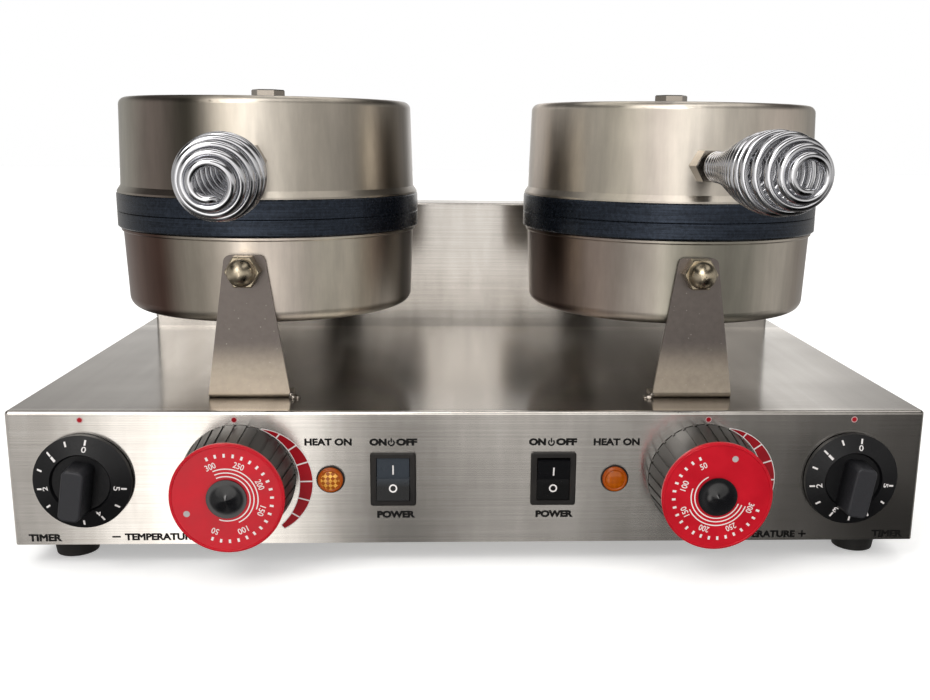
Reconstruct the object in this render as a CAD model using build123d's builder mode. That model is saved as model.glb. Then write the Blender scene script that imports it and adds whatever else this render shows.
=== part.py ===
from build123d import *
import os
from math import atan2, cos, degrees, hypot, pi, radians, sin, sqrt, tan

# Double waffle maker in millimetres, +Z up, with its front towards -Y.
# The origin is the middle of the whole outline's footprint, on the bench; the base stands
# a little behind it, because the handles reach out in front.

# Housing of folded stainless sheet
base_width = 510.0
base_depth = 322.0
base_setback = 33.7
base_height = 77.0
foot_height = 13.0
sheet = 1.2
corner_bend = 2.5
top_bend = 2.0
tower_depth = 34.0
tower_height = 95.0
cover_clearance = 0.15
wire_hole_width = 60.0
wire_hole_depth = 14.0

# Rubber feet
foot_top_radius = 13.5
foot_bottom_radius = 11.5
foot_inset = 25.0
foot_screw_radius = 2.2
foot_recess_radius = 5.0
foot_recess_depth = 7.0

# Ventilation slots
vent_length = 42.0
vent_width = 3.2
vent_pitch = 8.0
vent_rows = 6
floor_vent_rows = 9

# Where the drums stand
drum_x = 128.0
drum_behind_panel = 121.0
pan_bottom_height = 42.4
ring_bottom_height = 92.1
split_height = 101.7
ring_top_height = 112.9
lid_edge_height = 169.0

# Drum bodies
drum_wall = 1.2
pan_foot_radius = 88.7
pan_rim_radius = 90.5
pan_corner = 7.0
bead_height = 2.6
bead_reach = 1.1
bead_edge = 0.7
lid_top_radius = 89.0
lid_body_radius = 90.7
lid_skirt_radius = 93.0
lid_skirt_height = 4.4
lid_skirt_band = 1.1
lid_corner = 4.5
lid_crown = 1.6

# Cast waffle plates
ring_radius = 93.5
ring_edge = 0.8
split_gap = 0.2
plate_body_radius = 87.0
plate_fit = 0.05
plate_back_depth = 17.0
pocket_radius = 82.0
pocket_depth = 10.0
peg_size = 9.0
peg_height = 7.0
peg_taper = 8.0
peg_first = 10.0
peg_pitch = 15.0
peg_columns = 5
divider_width = 3.5
divider_height = 7.0
boss_radius = 9.0
bolt_thread_radius = 4.0
bolt_fit = 0.05
bolt_depth = 20.0

# Plate hinge
hinge_offset = 10.5
knuckle_radius = 7.0
knuckle_width = 34.0
lug_width = 10.0
lug_clearance = 0.3
pin_radius = 3.0
pin_fit = 0.05
pin_head_radius = 5.0
pin_head_length = 2.5

# Heating elements
heater_radius = 72.0
heater_bore = 13.0
heater_thickness = 6.0
terminal_radius = 2.5
terminal_length = 14.0
terminal_spread = 12.0
terminal_behind = 40.0

# Centre bolts of the lids and pans
bolt_across_flats = 18.0
bolt_head_height = 5.0
bolt_chamfer = 0.6
bolt_hole_clearance = 0.25
bolt_end_gap = 1.0
crown_clearance = 0.03

# Front legs, studs and acorn nuts
leg_behind_panel = 27.5
leg_foot_width = 47.0
leg_top_width = 22.3
leg_height = 82.3
leg_plate = 2.0
leg_flange = 16.0
leg_bend = 1.5
leg_top_corner = 4.0
stud_height = 73.7
stud_radius = 4.9
stud_hole_radius = 5.2
stud_collar_radius = 8.0
stud_inside = 4.0
nut_across_flats = 17.0
nut_hex_length = 8.0
nut_chamfer = 0.6
nut_band = 2.2
nut_dome_radius = 7.8
nut_depth = 11.0
nut_fit = 0.1

# Rear arms
arm_width = 44.0
arm_height = 28.0
arm_wall = 1.5
arm_corner = 3.0
arm_centre_height = 62.0

# Handles
handle_height = 134.0
handle_place = {"left": 2.6, "right": 1.3}
handle_turn = {"left": 2.0, "right": 9.1}
handle_droop = {"left": -3.5, "right": -0.6}
hex_across_flats = 17.0
hex_length = 9.0
hex_chamfer = 0.5
hex_root = 8.0
handle_boss_radius = 3.5
handle_boss_length = 14.0
wire_diameter = 3.1
coil_neck_radius = 6.7
coil_belly_radius = 18.7
coil_end_radius = 7.0
coil_lead = 7.5
coil_neck_reach = 18.0
coil_belly_reach = 84.0
coil_closing_length = 30.0
coil_neck_pitch = 3.7
coil_body_turns = 14.0
coil_closing_turns = 4.5
coil_first_angle = 0.25
coil_tangent_step = 0.01
coil_gap_samples = 1200

# Front controls, measured from the panel's top edge and middle
control_drop = 39.0
switch_x = 44.8
lamp_x = 79.5
thermostat_x = 130.3
timer_x = 214.3
shaft_radius = 3.0
shaft_fit = 0.05
knob_gap = 0.8
bush_radius = 5.0
bush_fit = 0.2
bush_length = 3.0
bush_recess_radius = 6.5
bush_recess_depth = 3.5
shaft_end_gap = 0.5
shaft_root = 6.0
body_corner = 2.0

# Timer
timer_size = 42.0
timer_depth = 34.0
timer_skirt_radius = 26.5
timer_rim = 3.0
timer_hub_radius = 16.5
timer_skirt_height = 7.0
timer_recess = 1.6
timer_recess_slope = 1.0
timer_bar_width = 13.5
timer_bar_length = 30.0
timer_bar_shift = -2.6
timer_bar_height = 21.0
timer_bar_taper = 3.0
timer_bar_end = 4.0
timer_bar_edge = 1.2
timer_shaft_reach = 17.0
timer_rest_angle = 9.0

# Thermostat
thermostat_size = 40.0
thermostat_depth = 30.0
barrel_back_radius = 31.4
barrel_front_radius = 29.0
barrel_front = 28.6
barrel_wall = 3.0
barrel_web = 5.0
barrel_hub_radius = 9.0
flute_count = 30
flute_width = 1.6
flute_depth = 0.8
dial_radius = 30.2
dial_thickness = 2.0
dial_edge = 0.6
dial_bore = 9.8
cap_radius = 10.6
cap_height = 3.6
cap_band = 1.0
cap_bulge = 0.8
cap_stem_clearance = 0.1
thermostat_shaft_reach = 21.0

# Rocker switch
bezel_width = 25.5
bezel_height = 31.0
bezel_thickness = 2.0
bezel_edge = 0.8
bezel_corner = 1.5
switch_body_width = 21.6
switch_body_height = 27.6
switch_body_depth = 20.0
rocker_width = 18.0
rocker_height = 23.8
rocker_clearance = 0.35
rocker_end_clearance = 0.65
rocker_pivot_depth = 0.6
rocker_face = 2.0
rocker_slope = 8.0
rocker_waist = 0.8
rocker_waist_height = 22.6
rocker_back = 5.0
rocker_back_height = 12.0
rocker_well_depth = 9.0
axle_radius = 1.5
axle_fit = 0.06
axle_length = 1.1
axle_end_gap = 0.2

# Pilot lamp
lamp_hole_radius = 6.0
lamp_flange_radius = 7.9
lamp_flange = 1.0
lamp_lens_radius = 7.1
lamp_lens_height = 4.6
lamp_lens_band = 1.2
lamp_tube_fit = 0.15
lamp_tube_length = 22.0
lamp_nut_radius = 8.5
lamp_nut_thickness = 3.0

# Mains terminals and cable gland in the rear wall
gland_x = 190.0
gland_height = 30.0
gland_hole_radius = 8.0
gland_flats = 22.0
gland_hex = 6.0
gland_dome = 11.0
gland_dome_radius = 9.5
gland_bore = 4.0
gland_nose = 1.0
gland_thread_fit = 0.15
gland_thread = 12.0
gland_nut = 5.0
block_length = 60.0
block_width = 22.0
block_height = 18.0
block_poles = 5
pole_radius = 3.2
block_inset = 60.0

sides = (("left", -1), ("right", 1))
front_y = base_setback - base_depth / 2
back_y = base_setback + base_depth / 2
base_top = foot_height + base_height
tower_front_y = back_y - tower_depth
tower_top = base_top + tower_height
drum_y = front_y + drum_behind_panel
pan_bottom = base_top + pan_bottom_height
ring_bottom = base_top + ring_bottom_height
split_z = base_top + split_height
ring_top = base_top + ring_top_height
lid_edge = base_top + lid_edge_height
lid_peak = lid_edge + lid_crown
hinge_y = drum_y + ring_radius + hinge_offset
control_z = base_top - control_drop
panel_back_y = front_y + sheet
stud_z = base_top + stud_height
leg_front_y = front_y + leg_behind_panel
leg_back_y = leg_front_y + leg_plate
arm_z = base_top + arm_centre_height
handle_z = base_top + handle_height

os.makedirs("parts", exist_ok=True)


def panel_plane(x, z, y=front_y):
    return Plane(origin=(x, y, z), x_dir=(1, 0, 0), z_dir=(0, -1, 0))


def drum_section(sign):
    # Local x runs out from the drum's axis, local y runs up.
    return Plane(origin=(sign * drum_x, drum_y, 0), x_dir=(1, 0, 0), z_dir=(0, -1, 0))


def drum_axis(sign):
    return Axis((sign * drum_x, drum_y, 0), (0, 0, 1))


def side_section(x):
    # Local x runs towards the back, local y runs up.
    return Plane(origin=(x, 0, 0), x_dir=(0, 1, 0), z_dir=(1, 0, 0))


def disc(plane, radius, amount, mode=Mode.ADD):
    with BuildSketch(plane) as outline:
        Circle(radius)
    return extrude(outline.sketch, amount=amount, mode=mode)


def pan_face(inset):
    # Half section of the lower pan, or of its inside where inset is the wall.
    floor = pan_bottom + inset
    with BuildLine() as outline:
        Polyline(
            (0, floor),
            (pan_foot_radius - inset, floor),
            (pan_rim_radius - inset, ring_bottom),
            (0, ring_bottom),
            close=True,
        )
    face = make_face(outline.edges())
    corner = face.vertices().sort_by_distance((pan_foot_radius - inset, floor, 0))[0]
    fillet(corner, radius=pan_corner - inset)


def lid_face(inset):
    # Half section of the lid with its flared foot and its gently domed crown.
    top_radius = lid_top_radius - inset
    body_radius = lid_body_radius - inset
    skirt_radius = lid_skirt_radius - inset
    peak = lid_peak - inset
    edge = lid_edge - inset
    with BuildLine() as outline:
        ThreePointArc((0, peak), (top_radius / 2, peak - lid_crown / 4), (top_radius, edge))
        Polyline(
            (top_radius, edge),
            (body_radius, ring_top + lid_skirt_height),
            (skirt_radius, ring_top + lid_skirt_band),
            (skirt_radius, ring_top),
            (0, ring_top),
            (0, peak),
        )
    face = make_face(outline.edges())
    corner = face.vertices().sort_by_distance((top_radius, edge, 0))[0]
    fillet(corner, radius=lid_corner - inset)


# Base: a folded box, open below, with the control panel as its front
with BuildPart() as base_shell:
    with BuildSketch(Plane((0, base_setback, foot_height))):
        Rectangle(base_width, base_depth)
    extrude(amount=base_height)
    fillet(base_shell.edges().filter_by(Axis.Z), radius=corner_bend)
    fillet(base_shell.faces().sort_by(Axis.Z)[-1].edges(), radius=top_bend)
    offset(amount=-sheet, openings=base_shell.faces().sort_by(Axis.Z)[0])
    with BuildSketch(panel_plane(0, control_z)):
        with Locations((-switch_x, 0), (switch_x, 0)):
            Rectangle(switch_body_width + 2 * cover_clearance, switch_body_height + 2 * cover_clearance)
        with Locations((-lamp_x, 0), (lamp_x, 0)):
            Circle(lamp_hole_radius)
        with Locations((-thermostat_x, 0), (thermostat_x, 0), (-timer_x, 0), (timer_x, 0)):
            Circle(bush_radius + bush_fit)
    extrude(amount=-2 * sheet, mode=Mode.SUBTRACT)
    with BuildSketch(Plane.XY.offset(base_top)):
        with Locations((-drum_x, back_y - tower_depth / 2), (drum_x, back_y - tower_depth / 2)):
            Rectangle(wire_hole_width, wire_hole_depth)
    extrude(amount=-2 * sheet, mode=Mode.SUBTRACT)
    with BuildSketch(panel_plane(gland_x, foot_height + gland_height, back_y)):
        Circle(gland_hole_radius)
    extrude(amount=2 * sheet, both=True, mode=Mode.SUBTRACT)
base_shell.part.label = "base_shell"
export_step(base_shell.part, "parts/base_shell.step")

# Floor plate inside the base's lower edge, with slots that let air in
with BuildPart() as bottom_plate:
    with BuildSketch(Plane((0, base_setback, foot_height))):
        RectangleRounded(
            base_width - 2 * sheet - 2 * cover_clearance,
            base_depth - 2 * sheet - 2 * cover_clearance,
            corner_bend - sheet,
        )
        with GridLocations(2 * drum_x, vent_pitch, 2, floor_vent_rows):
            SlotOverall(vent_length, vent_width, mode=Mode.SUBTRACT)
        with GridLocations(base_width - 2 * foot_inset, base_depth - 2 * foot_inset, 2, 2):
            Circle(foot_screw_radius, mode=Mode.SUBTRACT)
    extrude(amount=sheet)
bottom_plate.part.label = "bottom_plate"
export_step(bottom_plate.part, "parts/bottom_plate.step")

# Four tapered feet with a recess for the screw
foot_taper = degrees(atan2(foot_top_radius - foot_bottom_radius, foot_height))
with BuildPart() as feet:
    with BuildSketch(Plane((0, base_setback, foot_height))):
        with GridLocations(base_width - 2 * foot_inset, base_depth - 2 * foot_inset, 2, 2):
            Circle(foot_top_radius)
    extrude(amount=-foot_height, taper=foot_taper)
    with BuildSketch(Plane((0, base_setback, 0))):
        with GridLocations(base_width - 2 * foot_inset, base_depth - 2 * foot_inset, 2, 2):
            Circle(foot_recess_radius)
    extrude(amount=foot_recess_depth, mode=Mode.SUBTRACT)
    with BuildSketch(Plane((0, base_setback, 0))):
        with GridLocations(base_width - 2 * foot_inset, base_depth - 2 * foot_inset, 2, 2):
            Circle(foot_screw_radius)
    extrude(amount=foot_height, mode=Mode.SUBTRACT)
feet.part.label = "feet"
export_step(feet.part, "parts/feet.step")

# Rear housing: a closed box of sheet, open at the back only
with BuildPart() as rear_tower:
    with BuildSketch(Plane.XY.offset(base_top)):
        with Locations((0, back_y - tower_depth / 2)):
            Rectangle(base_width, tower_depth)
    extrude(amount=tower_height)
    front_edges = rear_tower.faces().sort_by(Axis.Y)[0].edges()
    fillet(front_edges.filter_by(Axis.Z), radius=corner_bend)
    fillet(rear_tower.faces().sort_by(Axis.Z)[-1].edges().filter_by(Axis.X), radius=top_bend)
    with BuildSketch(Plane.XY.offset(base_top + sheet)) as hollow:
        with Locations((0, back_y - (tower_depth - sheet) / 2)):
            Rectangle(base_width - 2 * sheet, tower_depth - sheet)
        fillet(hollow.vertices().group_by(Axis.Y)[0], radius=corner_bend - sheet)
    extrude(amount=tower_height - 2 * sheet, mode=Mode.SUBTRACT)
    with BuildSketch(Plane.XY.offset(base_top)):
        with Locations((-drum_x, back_y - tower_depth / 2), (drum_x, back_y - tower_depth / 2)):
            Rectangle(wire_hole_width, wire_hole_depth)
    extrude(amount=sheet, mode=Mode.SUBTRACT)
    with BuildSketch(panel_plane(0, arm_z, tower_front_y)):
        with Locations((-drum_x, 0), (drum_x, 0)):
            RectangleRounded(arm_width - 2 * arm_wall, arm_height - 2 * arm_wall, arm_corner - arm_wall)
    extrude(amount=-sheet, mode=Mode.SUBTRACT)
rear_tower.part.label = "rear_tower"
export_step(rear_tower.part, "parts/rear_tower.step")

# Cover of the rear housing, with two banks of air slots
with BuildPart() as back_cover:
    with BuildSketch(panel_plane(0, base_top + tower_height / 2, back_y)):
        Rectangle(
            base_width - 2 * sheet - 2 * cover_clearance,
            tower_height - 2 * sheet - 2 * cover_clearance,
        )
        with GridLocations(2 * drum_x, vent_pitch, 2, vent_rows):
            SlotOverall(vent_length, vent_width, mode=Mode.SUBTRACT)
    extrude(amount=sheet)
back_cover.part.label = "back_cover"
export_step(back_cover.part, "parts/back_cover.step")

# Terminal block on the floor plate and cable gland in the base's rear wall
with BuildPart() as terminal_block:
    with BuildSketch(Plane.XY.offset(foot_height + sheet)):
        with Locations((gland_x - block_length / 2, back_y - block_inset)):
            Rectangle(block_length, block_width)
            with GridLocations(block_length / block_poles, 0, block_poles, 1):
                Circle(pole_radius, mode=Mode.SUBTRACT)
    extrude(amount=block_height)
terminal_block.part.label = "terminal_block"
export_step(terminal_block.part, "parts/terminal_block.step")

gland_z = foot_height + gland_height


def gland_plane(y):
    # Faces the back, so that amounts grow outwards.
    return Plane(origin=(gland_x, y, gland_z), x_dir=(1, 0, 0), z_dir=(0, 1, 0))


with BuildPart() as cable_gland:
    with BuildSketch(gland_plane(back_y)):
        RegularPolygon(gland_flats / 2, 6, major_radius=False)
    extrude(amount=gland_hex)
    with BuildSketch(gland_plane(back_y + gland_hex)):
        Circle(gland_dome_radius)
    extrude(amount=gland_dome)
    nose = cable_gland.faces().sort_by(Axis.Y)[-1].edges()
    fillet(nose, radius=gland_dome_radius - gland_bore - gland_nose)
    with BuildSketch(gland_plane(back_y)):
        Circle(gland_hole_radius - gland_thread_fit)
    extrude(amount=-gland_thread)
    with BuildSketch(gland_plane(back_y - sheet)):
        RegularPolygon(gland_flats / 2, 6, major_radius=False)
    extrude(amount=-gland_nut)
    with BuildSketch(gland_plane(back_y)):
        Circle(gland_bore)
    extrude(amount=gland_hex + gland_dome, both=True, mode=Mode.SUBTRACT)
cable_gland.part.label = "cable_gland"
export_step(cable_gland.part, "parts/cable_gland.step")

# Front legs: plate bent under at the foot, tapered to the stud
for side, sign in sides:
    leg_x = sign * drum_x
    with BuildPart() as leg:
        with BuildSketch(side_section(leg_x)):
            with BuildLine():
                Polyline(
                    (leg_front_y, base_top),
                    (leg_front_y + leg_flange, base_top),
                    (leg_front_y + leg_flange, base_top + leg_plate),
                    (leg_back_y, base_top + leg_plate),
                    (leg_back_y, base_top + leg_height),
                    (leg_front_y, base_top + leg_height),
                    close=True,
                )
            make_face()
        extrude(amount=leg_foot_width / 2, both=True)
        bends = leg.edges().filter_by(Axis.X)
        fillet(bends.sort_by_distance((leg_x, leg_front_y, base_top))[0], radius=leg_bend + leg_plate)
        bends = leg.edges().filter_by(Axis.X)
        fillet(bends.sort_by_distance((leg_x, leg_back_y, base_top + leg_plate))[0], radius=leg_bend)
        with BuildSketch(panel_plane(leg_x, base_top, leg_front_y)) as outline:
            with BuildLine():
                Polyline(
                    (-leg_foot_width / 2, 0),
                    (leg_foot_width / 2, 0),
                    (leg_top_width / 2, leg_height),
                    (-leg_top_width / 2, leg_height),
                    close=True,
                )
            make_face()
            fillet(outline.vertices().group_by(Axis.Y)[-1], radius=leg_top_corner)
            with Locations((0, stud_height)):
                Circle(stud_hole_radius, mode=Mode.SUBTRACT)
        extrude(amount=-leg_flange, mode=Mode.INTERSECT)
    leg.part.label = f"front_leg_{side}"
    export_step(leg.part, f"parts/front_leg_{side}.step")

# Studs between pans and legs, each with a collar coped to its pan
with BuildPart() as leg_studs:
    with BuildSketch(panel_plane(0, stud_z, leg_back_y)):
        with Locations((-drum_x, 0), (drum_x, 0)):
            Circle(stud_collar_radius)
    extrude(amount=-stud_collar_radius)
    for _, sign in sides:
        with BuildSketch(drum_section(sign)):
            pan_face(0)
        revolve(axis=drum_axis(sign), mode=Mode.SUBTRACT)
    with BuildSketch(panel_plane(0, stud_z, leg_front_y)):
        with Locations((-drum_x, 0), (drum_x, 0)):
            Circle(stud_radius)
    extrude(amount=nut_depth - nut_fit)
    with BuildSketch(panel_plane(0, stud_z, leg_front_y)):
        with Locations((-drum_x, 0), (drum_x, 0)):
            Circle(stud_radius)
    extrude(amount=-(drum_y - pan_rim_radius + drum_wall + stud_inside - leg_front_y))
leg_studs.part.label = "leg_studs"
export_step(leg_studs.part, "parts/leg_studs.step")

# Acorn nuts: a chamfered hexagon under a dome, with a blind hole
with BuildPart() as leg_nuts:
    with BuildSketch(panel_plane(0, stud_z, leg_front_y)):
        with Locations((-drum_x, 0), (drum_x, 0)):
            RegularPolygon(nut_across_flats / 2, 6, major_radius=False)
    extrude(amount=nut_hex_length)
    chamfer(leg_nuts.faces().group_by(Axis.Y)[0].edges(), length=nut_chamfer)
    for _, sign in sides:
        dome_centre = (sign * drum_x, leg_front_y - nut_hex_length - nut_band, stud_z)
        with BuildSketch(Plane(origin=dome_centre, x_dir=(0, 1, 0), z_dir=(1, 0, 0))):
            with BuildLine():
                CenterArc((0, 0), nut_dome_radius, 90, 90)
                Polyline(
                    (-nut_dome_radius, 0),
                    (nut_band + nut_chamfer, 0),
                    (nut_band + nut_chamfer, nut_dome_radius),
                    (0, nut_dome_radius),
                )
            make_face()
        revolve(axis=Axis(dome_centre, (0, 1, 0)))
    with BuildSketch(panel_plane(0, stud_z, leg_front_y)):
        with Locations((-drum_x, 0), (drum_x, 0)):
            Circle(stud_radius + nut_fit)
    extrude(amount=nut_depth, mode=Mode.SUBTRACT)
leg_nuts.part.label = "leg_nuts"
export_step(leg_nuts.part, "parts/leg_nuts.step")

# Lower pans, with a rolled bead at the rim, a stud hole and a wire hole
for side, sign in sides:
    with BuildPart() as pan:
        with BuildSketch(drum_section(sign)):
            pan_face(0)
        revolve(axis=drum_axis(sign))
        with BuildSketch(drum_section(sign)) as bead:
            with BuildLine():
                Polyline(
                    (0, ring_bottom - bead_height),
                    (pan_rim_radius + bead_reach, ring_bottom - bead_height),
                    (pan_rim_radius + bead_reach, ring_bottom),
                    (0, ring_bottom),
                    close=True,
                )
            make_face()
            chamfer(bead.vertices().group_by(Axis.X)[-1], length=bead_edge)
        revolve(axis=drum_axis(sign))
        with BuildSketch(drum_section(sign)):
            pan_face(drum_wall)
        revolve(axis=drum_axis(sign), mode=Mode.SUBTRACT)
        with BuildSketch(panel_plane(sign * drum_x, stud_z, drum_y)):
            Circle(stud_hole_radius)
        extrude(amount=pan_rim_radius, mode=Mode.SUBTRACT)
        with BuildSketch(panel_plane(sign * drum_x, arm_z, drum_y)):
            RectangleRounded(arm_width - 2 * arm_wall, arm_height - 2 * arm_wall, arm_corner - arm_wall)
        extrude(amount=-pan_rim_radius, mode=Mode.SUBTRACT)
        with BuildSketch(Plane.XY.offset(pan_bottom)):
            with Locations((sign * drum_x, drum_y)):
                Circle(bolt_thread_radius + bolt_hole_clearance)
        extrude(amount=drum_wall, mode=Mode.SUBTRACT)
    pan.part.label = f"lower_housing_{side}"
    export_step(pan.part, f"parts/lower_housing_{side}.step")

# Rear arms: hollow box section from the rear housing, coped to the pans
for side, sign in sides:
    with BuildPart() as arm:
        with BuildSketch(panel_plane(sign * drum_x, arm_z, drum_y)):
            RectangleRounded(arm_width, arm_height, arm_corner)
            RectangleRounded(
                arm_width - 2 * arm_wall,
                arm_height - 2 * arm_wall,
                arm_corner - arm_wall,
                mode=Mode.SUBTRACT,
            )
        extrude(amount=-(tower_front_y - drum_y))
        with BuildSketch(drum_section(sign)):
            pan_face(0)
        revolve(axis=drum_axis(sign), mode=Mode.SUBTRACT)
    arm.part.label = f"rear_arm_{side}"
    export_step(arm.part, f"parts/rear_arm_{side}.step")


def plate_plane(sign, up, depth):
    # Depth runs from the mating face into the plate, upwards or downwards.
    height = split_z + up * (split_gap / 2 + depth)
    return Plane(origin=(sign * drum_x, drum_y, height), x_dir=(1, 0, 0), z_dir=(0, 0, up))


def peg_places():
    # Four quarters of a square grid, kept where a whole peg fits in the round pocket.
    steps = [peg_first + peg_pitch * column for column in range(peg_columns)]
    reach = pocket_radius - hypot(peg_size, peg_size) / 2
    return [
        (across * x, along * y)
        for x in steps
        for y in steps
        for across in (-1, 1)
        for along in (-1, 1)
        if hypot(x, y) < reach
    ]


def rim_ring(sign, up, ring_face):
    # Ring round the pocket that closes against its twin.
    face = plate_plane(sign, up, 0)
    ring = disc(face, ring_radius, abs(ring_face - split_z) - split_gap / 2)
    chamfer(ring.edges().filter_by(GeomType.CIRCLE), length=ring_edge)
    disc(face, plate_body_radius, pocket_depth)


def ring_bores(sign, up):
    # The round pocket, the seat of the plate behind it, and the hinge pin's bore.
    disc(plate_plane(sign, up, 0), pocket_radius, pocket_depth, Mode.SUBTRACT)
    seat = plate_plane(sign, up, pocket_depth)
    disc(seat, plate_body_radius + plate_fit, plate_back_depth, Mode.SUBTRACT)
    with BuildSketch(side_section(sign * drum_x)) as bore:
        with Locations((hinge_y, split_z)):
            Circle(pin_radius + pin_fit)
    extrude(bore.sketch, amount=knuckle_width, both=True, mode=Mode.SUBTRACT)


def waffle_plate(sign, up, boss_end):
    # Cast disc with tapered pegs in four quarters, and a boss behind for the bolt.
    boss_depth = abs(boss_end - split_z) - split_gap / 2
    floor = plate_plane(sign, up, pocket_depth)
    disc(floor, plate_body_radius, plate_back_depth - pocket_depth)
    disc(floor, boss_radius, boss_depth - pocket_depth)
    with BuildSketch(floor) as pegs:
        with Locations(*peg_places()):
            Rectangle(peg_size, peg_size)
    extrude(pegs.sketch, amount=-peg_height, taper=peg_taper)
    with BuildSketch(floor) as dividers:
        Rectangle(2 * pocket_radius - plate_fit, divider_width)
        Rectangle(divider_width, 2 * pocket_radius - plate_fit)
    extrude(dividers.sketch, amount=-divider_height)
    disc(plate_plane(sign, up, boss_depth), bolt_thread_radius + bolt_fit, -bolt_depth, Mode.SUBTRACT)


def hinge_lug(x, width, up, ring_face):
    # A lug from the plate's rim to the hinge axis, rounded about the pin.
    with BuildSketch(side_section(x)) as lug:
        with BuildLine():
            Polyline(
                (drum_y + plate_body_radius, split_z + up * split_gap / 2),
                (hinge_y, split_z + up * split_gap / 2),
                (hinge_y, split_z + up * knuckle_radius),
                (drum_y + plate_body_radius, ring_face),
                close=True,
            )
        make_face()
        with Locations((hinge_y, split_z)):
            Circle(knuckle_radius)
    extrude(lug.sketch, amount=width / 2, both=True)


lug_centre = knuckle_width / 2 + lug_clearance + lug_width / 2
for side, sign in sides:
    with BuildPart() as lower_ring:
        rim_ring(sign, -1, ring_bottom)
        hinge_lug(sign * drum_x - lug_centre, lug_width, -1, ring_bottom)
        hinge_lug(sign * drum_x + lug_centre, lug_width, -1, ring_bottom)
        ring_bores(sign, -1)
    lower_ring.part.label = f"lower_ring_{side}"
    export_step(lower_ring.part, f"parts/lower_ring_{side}.step")

    with BuildPart() as upper_ring:
        rim_ring(sign, 1, ring_top)
        hinge_lug(sign * drum_x, knuckle_width, 1, ring_top)
        ring_bores(sign, 1)
    upper_ring.part.label = f"upper_ring_{side}"
    export_step(upper_ring.part, f"parts/upper_ring_{side}.step")

    with BuildPart() as lower_grid:
        waffle_plate(sign, -1, pan_bottom + drum_wall)
    lower_grid.part.label = f"lower_grid_{side}"
    export_step(lower_grid.part, f"parts/lower_grid_{side}.step")

    with BuildPart() as upper_grid:
        waffle_plate(sign, 1, lid_peak - drum_wall - crown_clearance)
    upper_grid.part.label = f"upper_grid_{side}"
    export_step(upper_grid.part, f"parts/upper_grid_{side}.step")

# Hinge pins with a head at each end
pin_half = lug_centre + lug_width / 2
with BuildPart() as hinge_pins:
    for _, sign in sides:
        with BuildSketch(side_section(sign * drum_x)):
            with Locations((hinge_y, split_z)):
                Circle(pin_radius)
        extrude(amount=pin_half, both=True)
        for end in (-1, 1):
            with BuildSketch(side_section(sign * drum_x + end * (pin_half + pin_head_length / 2))):
                with Locations((hinge_y, split_z)):
                    Circle(pin_head_radius)
            extrude(amount=pin_head_length / 2, both=True)
hinge_pins.part.label = "hinge_pins"
export_step(hinge_pins.part, "parts/hinge_pins.step")

# Disc heating elements on the backs of the plates, with two terminals each
for side, sign in sides:
    for level, up in (("lower", -1), ("upper", 1)):
        with BuildPart() as heater:
            with BuildSketch(plate_plane(sign, up, plate_back_depth)):
                Circle(heater_radius)
                Circle(heater_bore, mode=Mode.SUBTRACT)
            extrude(amount=heater_thickness)
            with BuildSketch(plate_plane(sign, up, plate_back_depth + heater_thickness)):
                with Locations((0, up * terminal_behind)):
                    with GridLocations(2 * terminal_spread, 0, 2, 1):
                        Circle(terminal_radius)
            extrude(amount=terminal_length)
        heater.part.label = f"{level}_heater_{side}"
        export_step(heater.part, f"parts/{level}_heater_{side}.step")


def drum_bolt(sign, seat_z, up):
    # Hexagon head standing off its seat, with the shank going the other way.
    seat = Plane(origin=(sign * drum_x, drum_y, seat_z), x_dir=(1, 0, 0), z_dir=(0, 0, up))
    with BuildSketch(seat) as hexagon:
        RegularPolygon(bolt_across_flats / 2, 6, major_radius=False)
    head = extrude(hexagon.sketch, amount=bolt_head_height)
    chamfer(head.faces().sort_by(Axis.Z)[-1 if up > 0 else 0].edges(), length=bolt_chamfer)
    disc(seat, bolt_thread_radius, -(drum_wall + bolt_depth - bolt_end_gap))


# Bolts that hold the pans to the lower plates
with BuildPart() as pan_bolts:
    for _, sign in sides:
        drum_bolt(sign, pan_bottom, -1)
pan_bolts.part.label = "pan_bolts"
export_step(pan_bolts.part, "parts/pan_bolts.step")

# Lids: drawn covers with a flared foot and a domed crown, held by the centre bolt
for side, sign in sides:
    with BuildPart() as lid:
        with BuildSketch(drum_section(sign)):
            lid_face(0)
        revolve(axis=drum_axis(sign))
        with BuildSketch(drum_section(sign)):
            lid_face(drum_wall)
        revolve(axis=drum_axis(sign), mode=Mode.SUBTRACT)
        with BuildSketch(Plane.XY.offset(lid_peak)):
            with Locations((sign * drum_x, drum_y)):
                Circle(bolt_thread_radius + bolt_hole_clearance)
        extrude(amount=-2 * drum_wall, mode=Mode.SUBTRACT)
    lid.part.label = f"lid_shell_{side}"
    export_step(lid.part, f"parts/lid_shell_{side}.step")

    with BuildPart() as lid_bolt:
        drum_bolt(sign, lid_peak, 1)
    lid_bolt.part.label = f"lid_bolt_{side}"
    export_step(lid_bolt.part, f"parts/lid_bolt_{side}.step")


def handle_plane(side, sign):
    # Origin on the lid's wall, local z out along the handle.
    place = radians(handle_place[side])
    turn = radians(handle_turn[side])
    droop = radians(handle_droop[side])
    rise = (handle_z - ring_top - lid_skirt_height) / (lid_edge - ring_top - lid_skirt_height)
    wall_radius = lid_body_radius + (lid_top_radius - lid_body_radius) * rise
    return Plane(
        origin=(sign * drum_x + wall_radius * sin(place), drum_y - wall_radius * cos(place), handle_z),
        x_dir=(cos(turn), sin(turn), 0),
        z_dir=(sin(turn) * cos(droop), -cos(turn) * cos(droop), sin(droop)),
    )


coil_start = hex_length + coil_lead
coil_turns = coil_body_turns + coil_closing_turns


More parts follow.
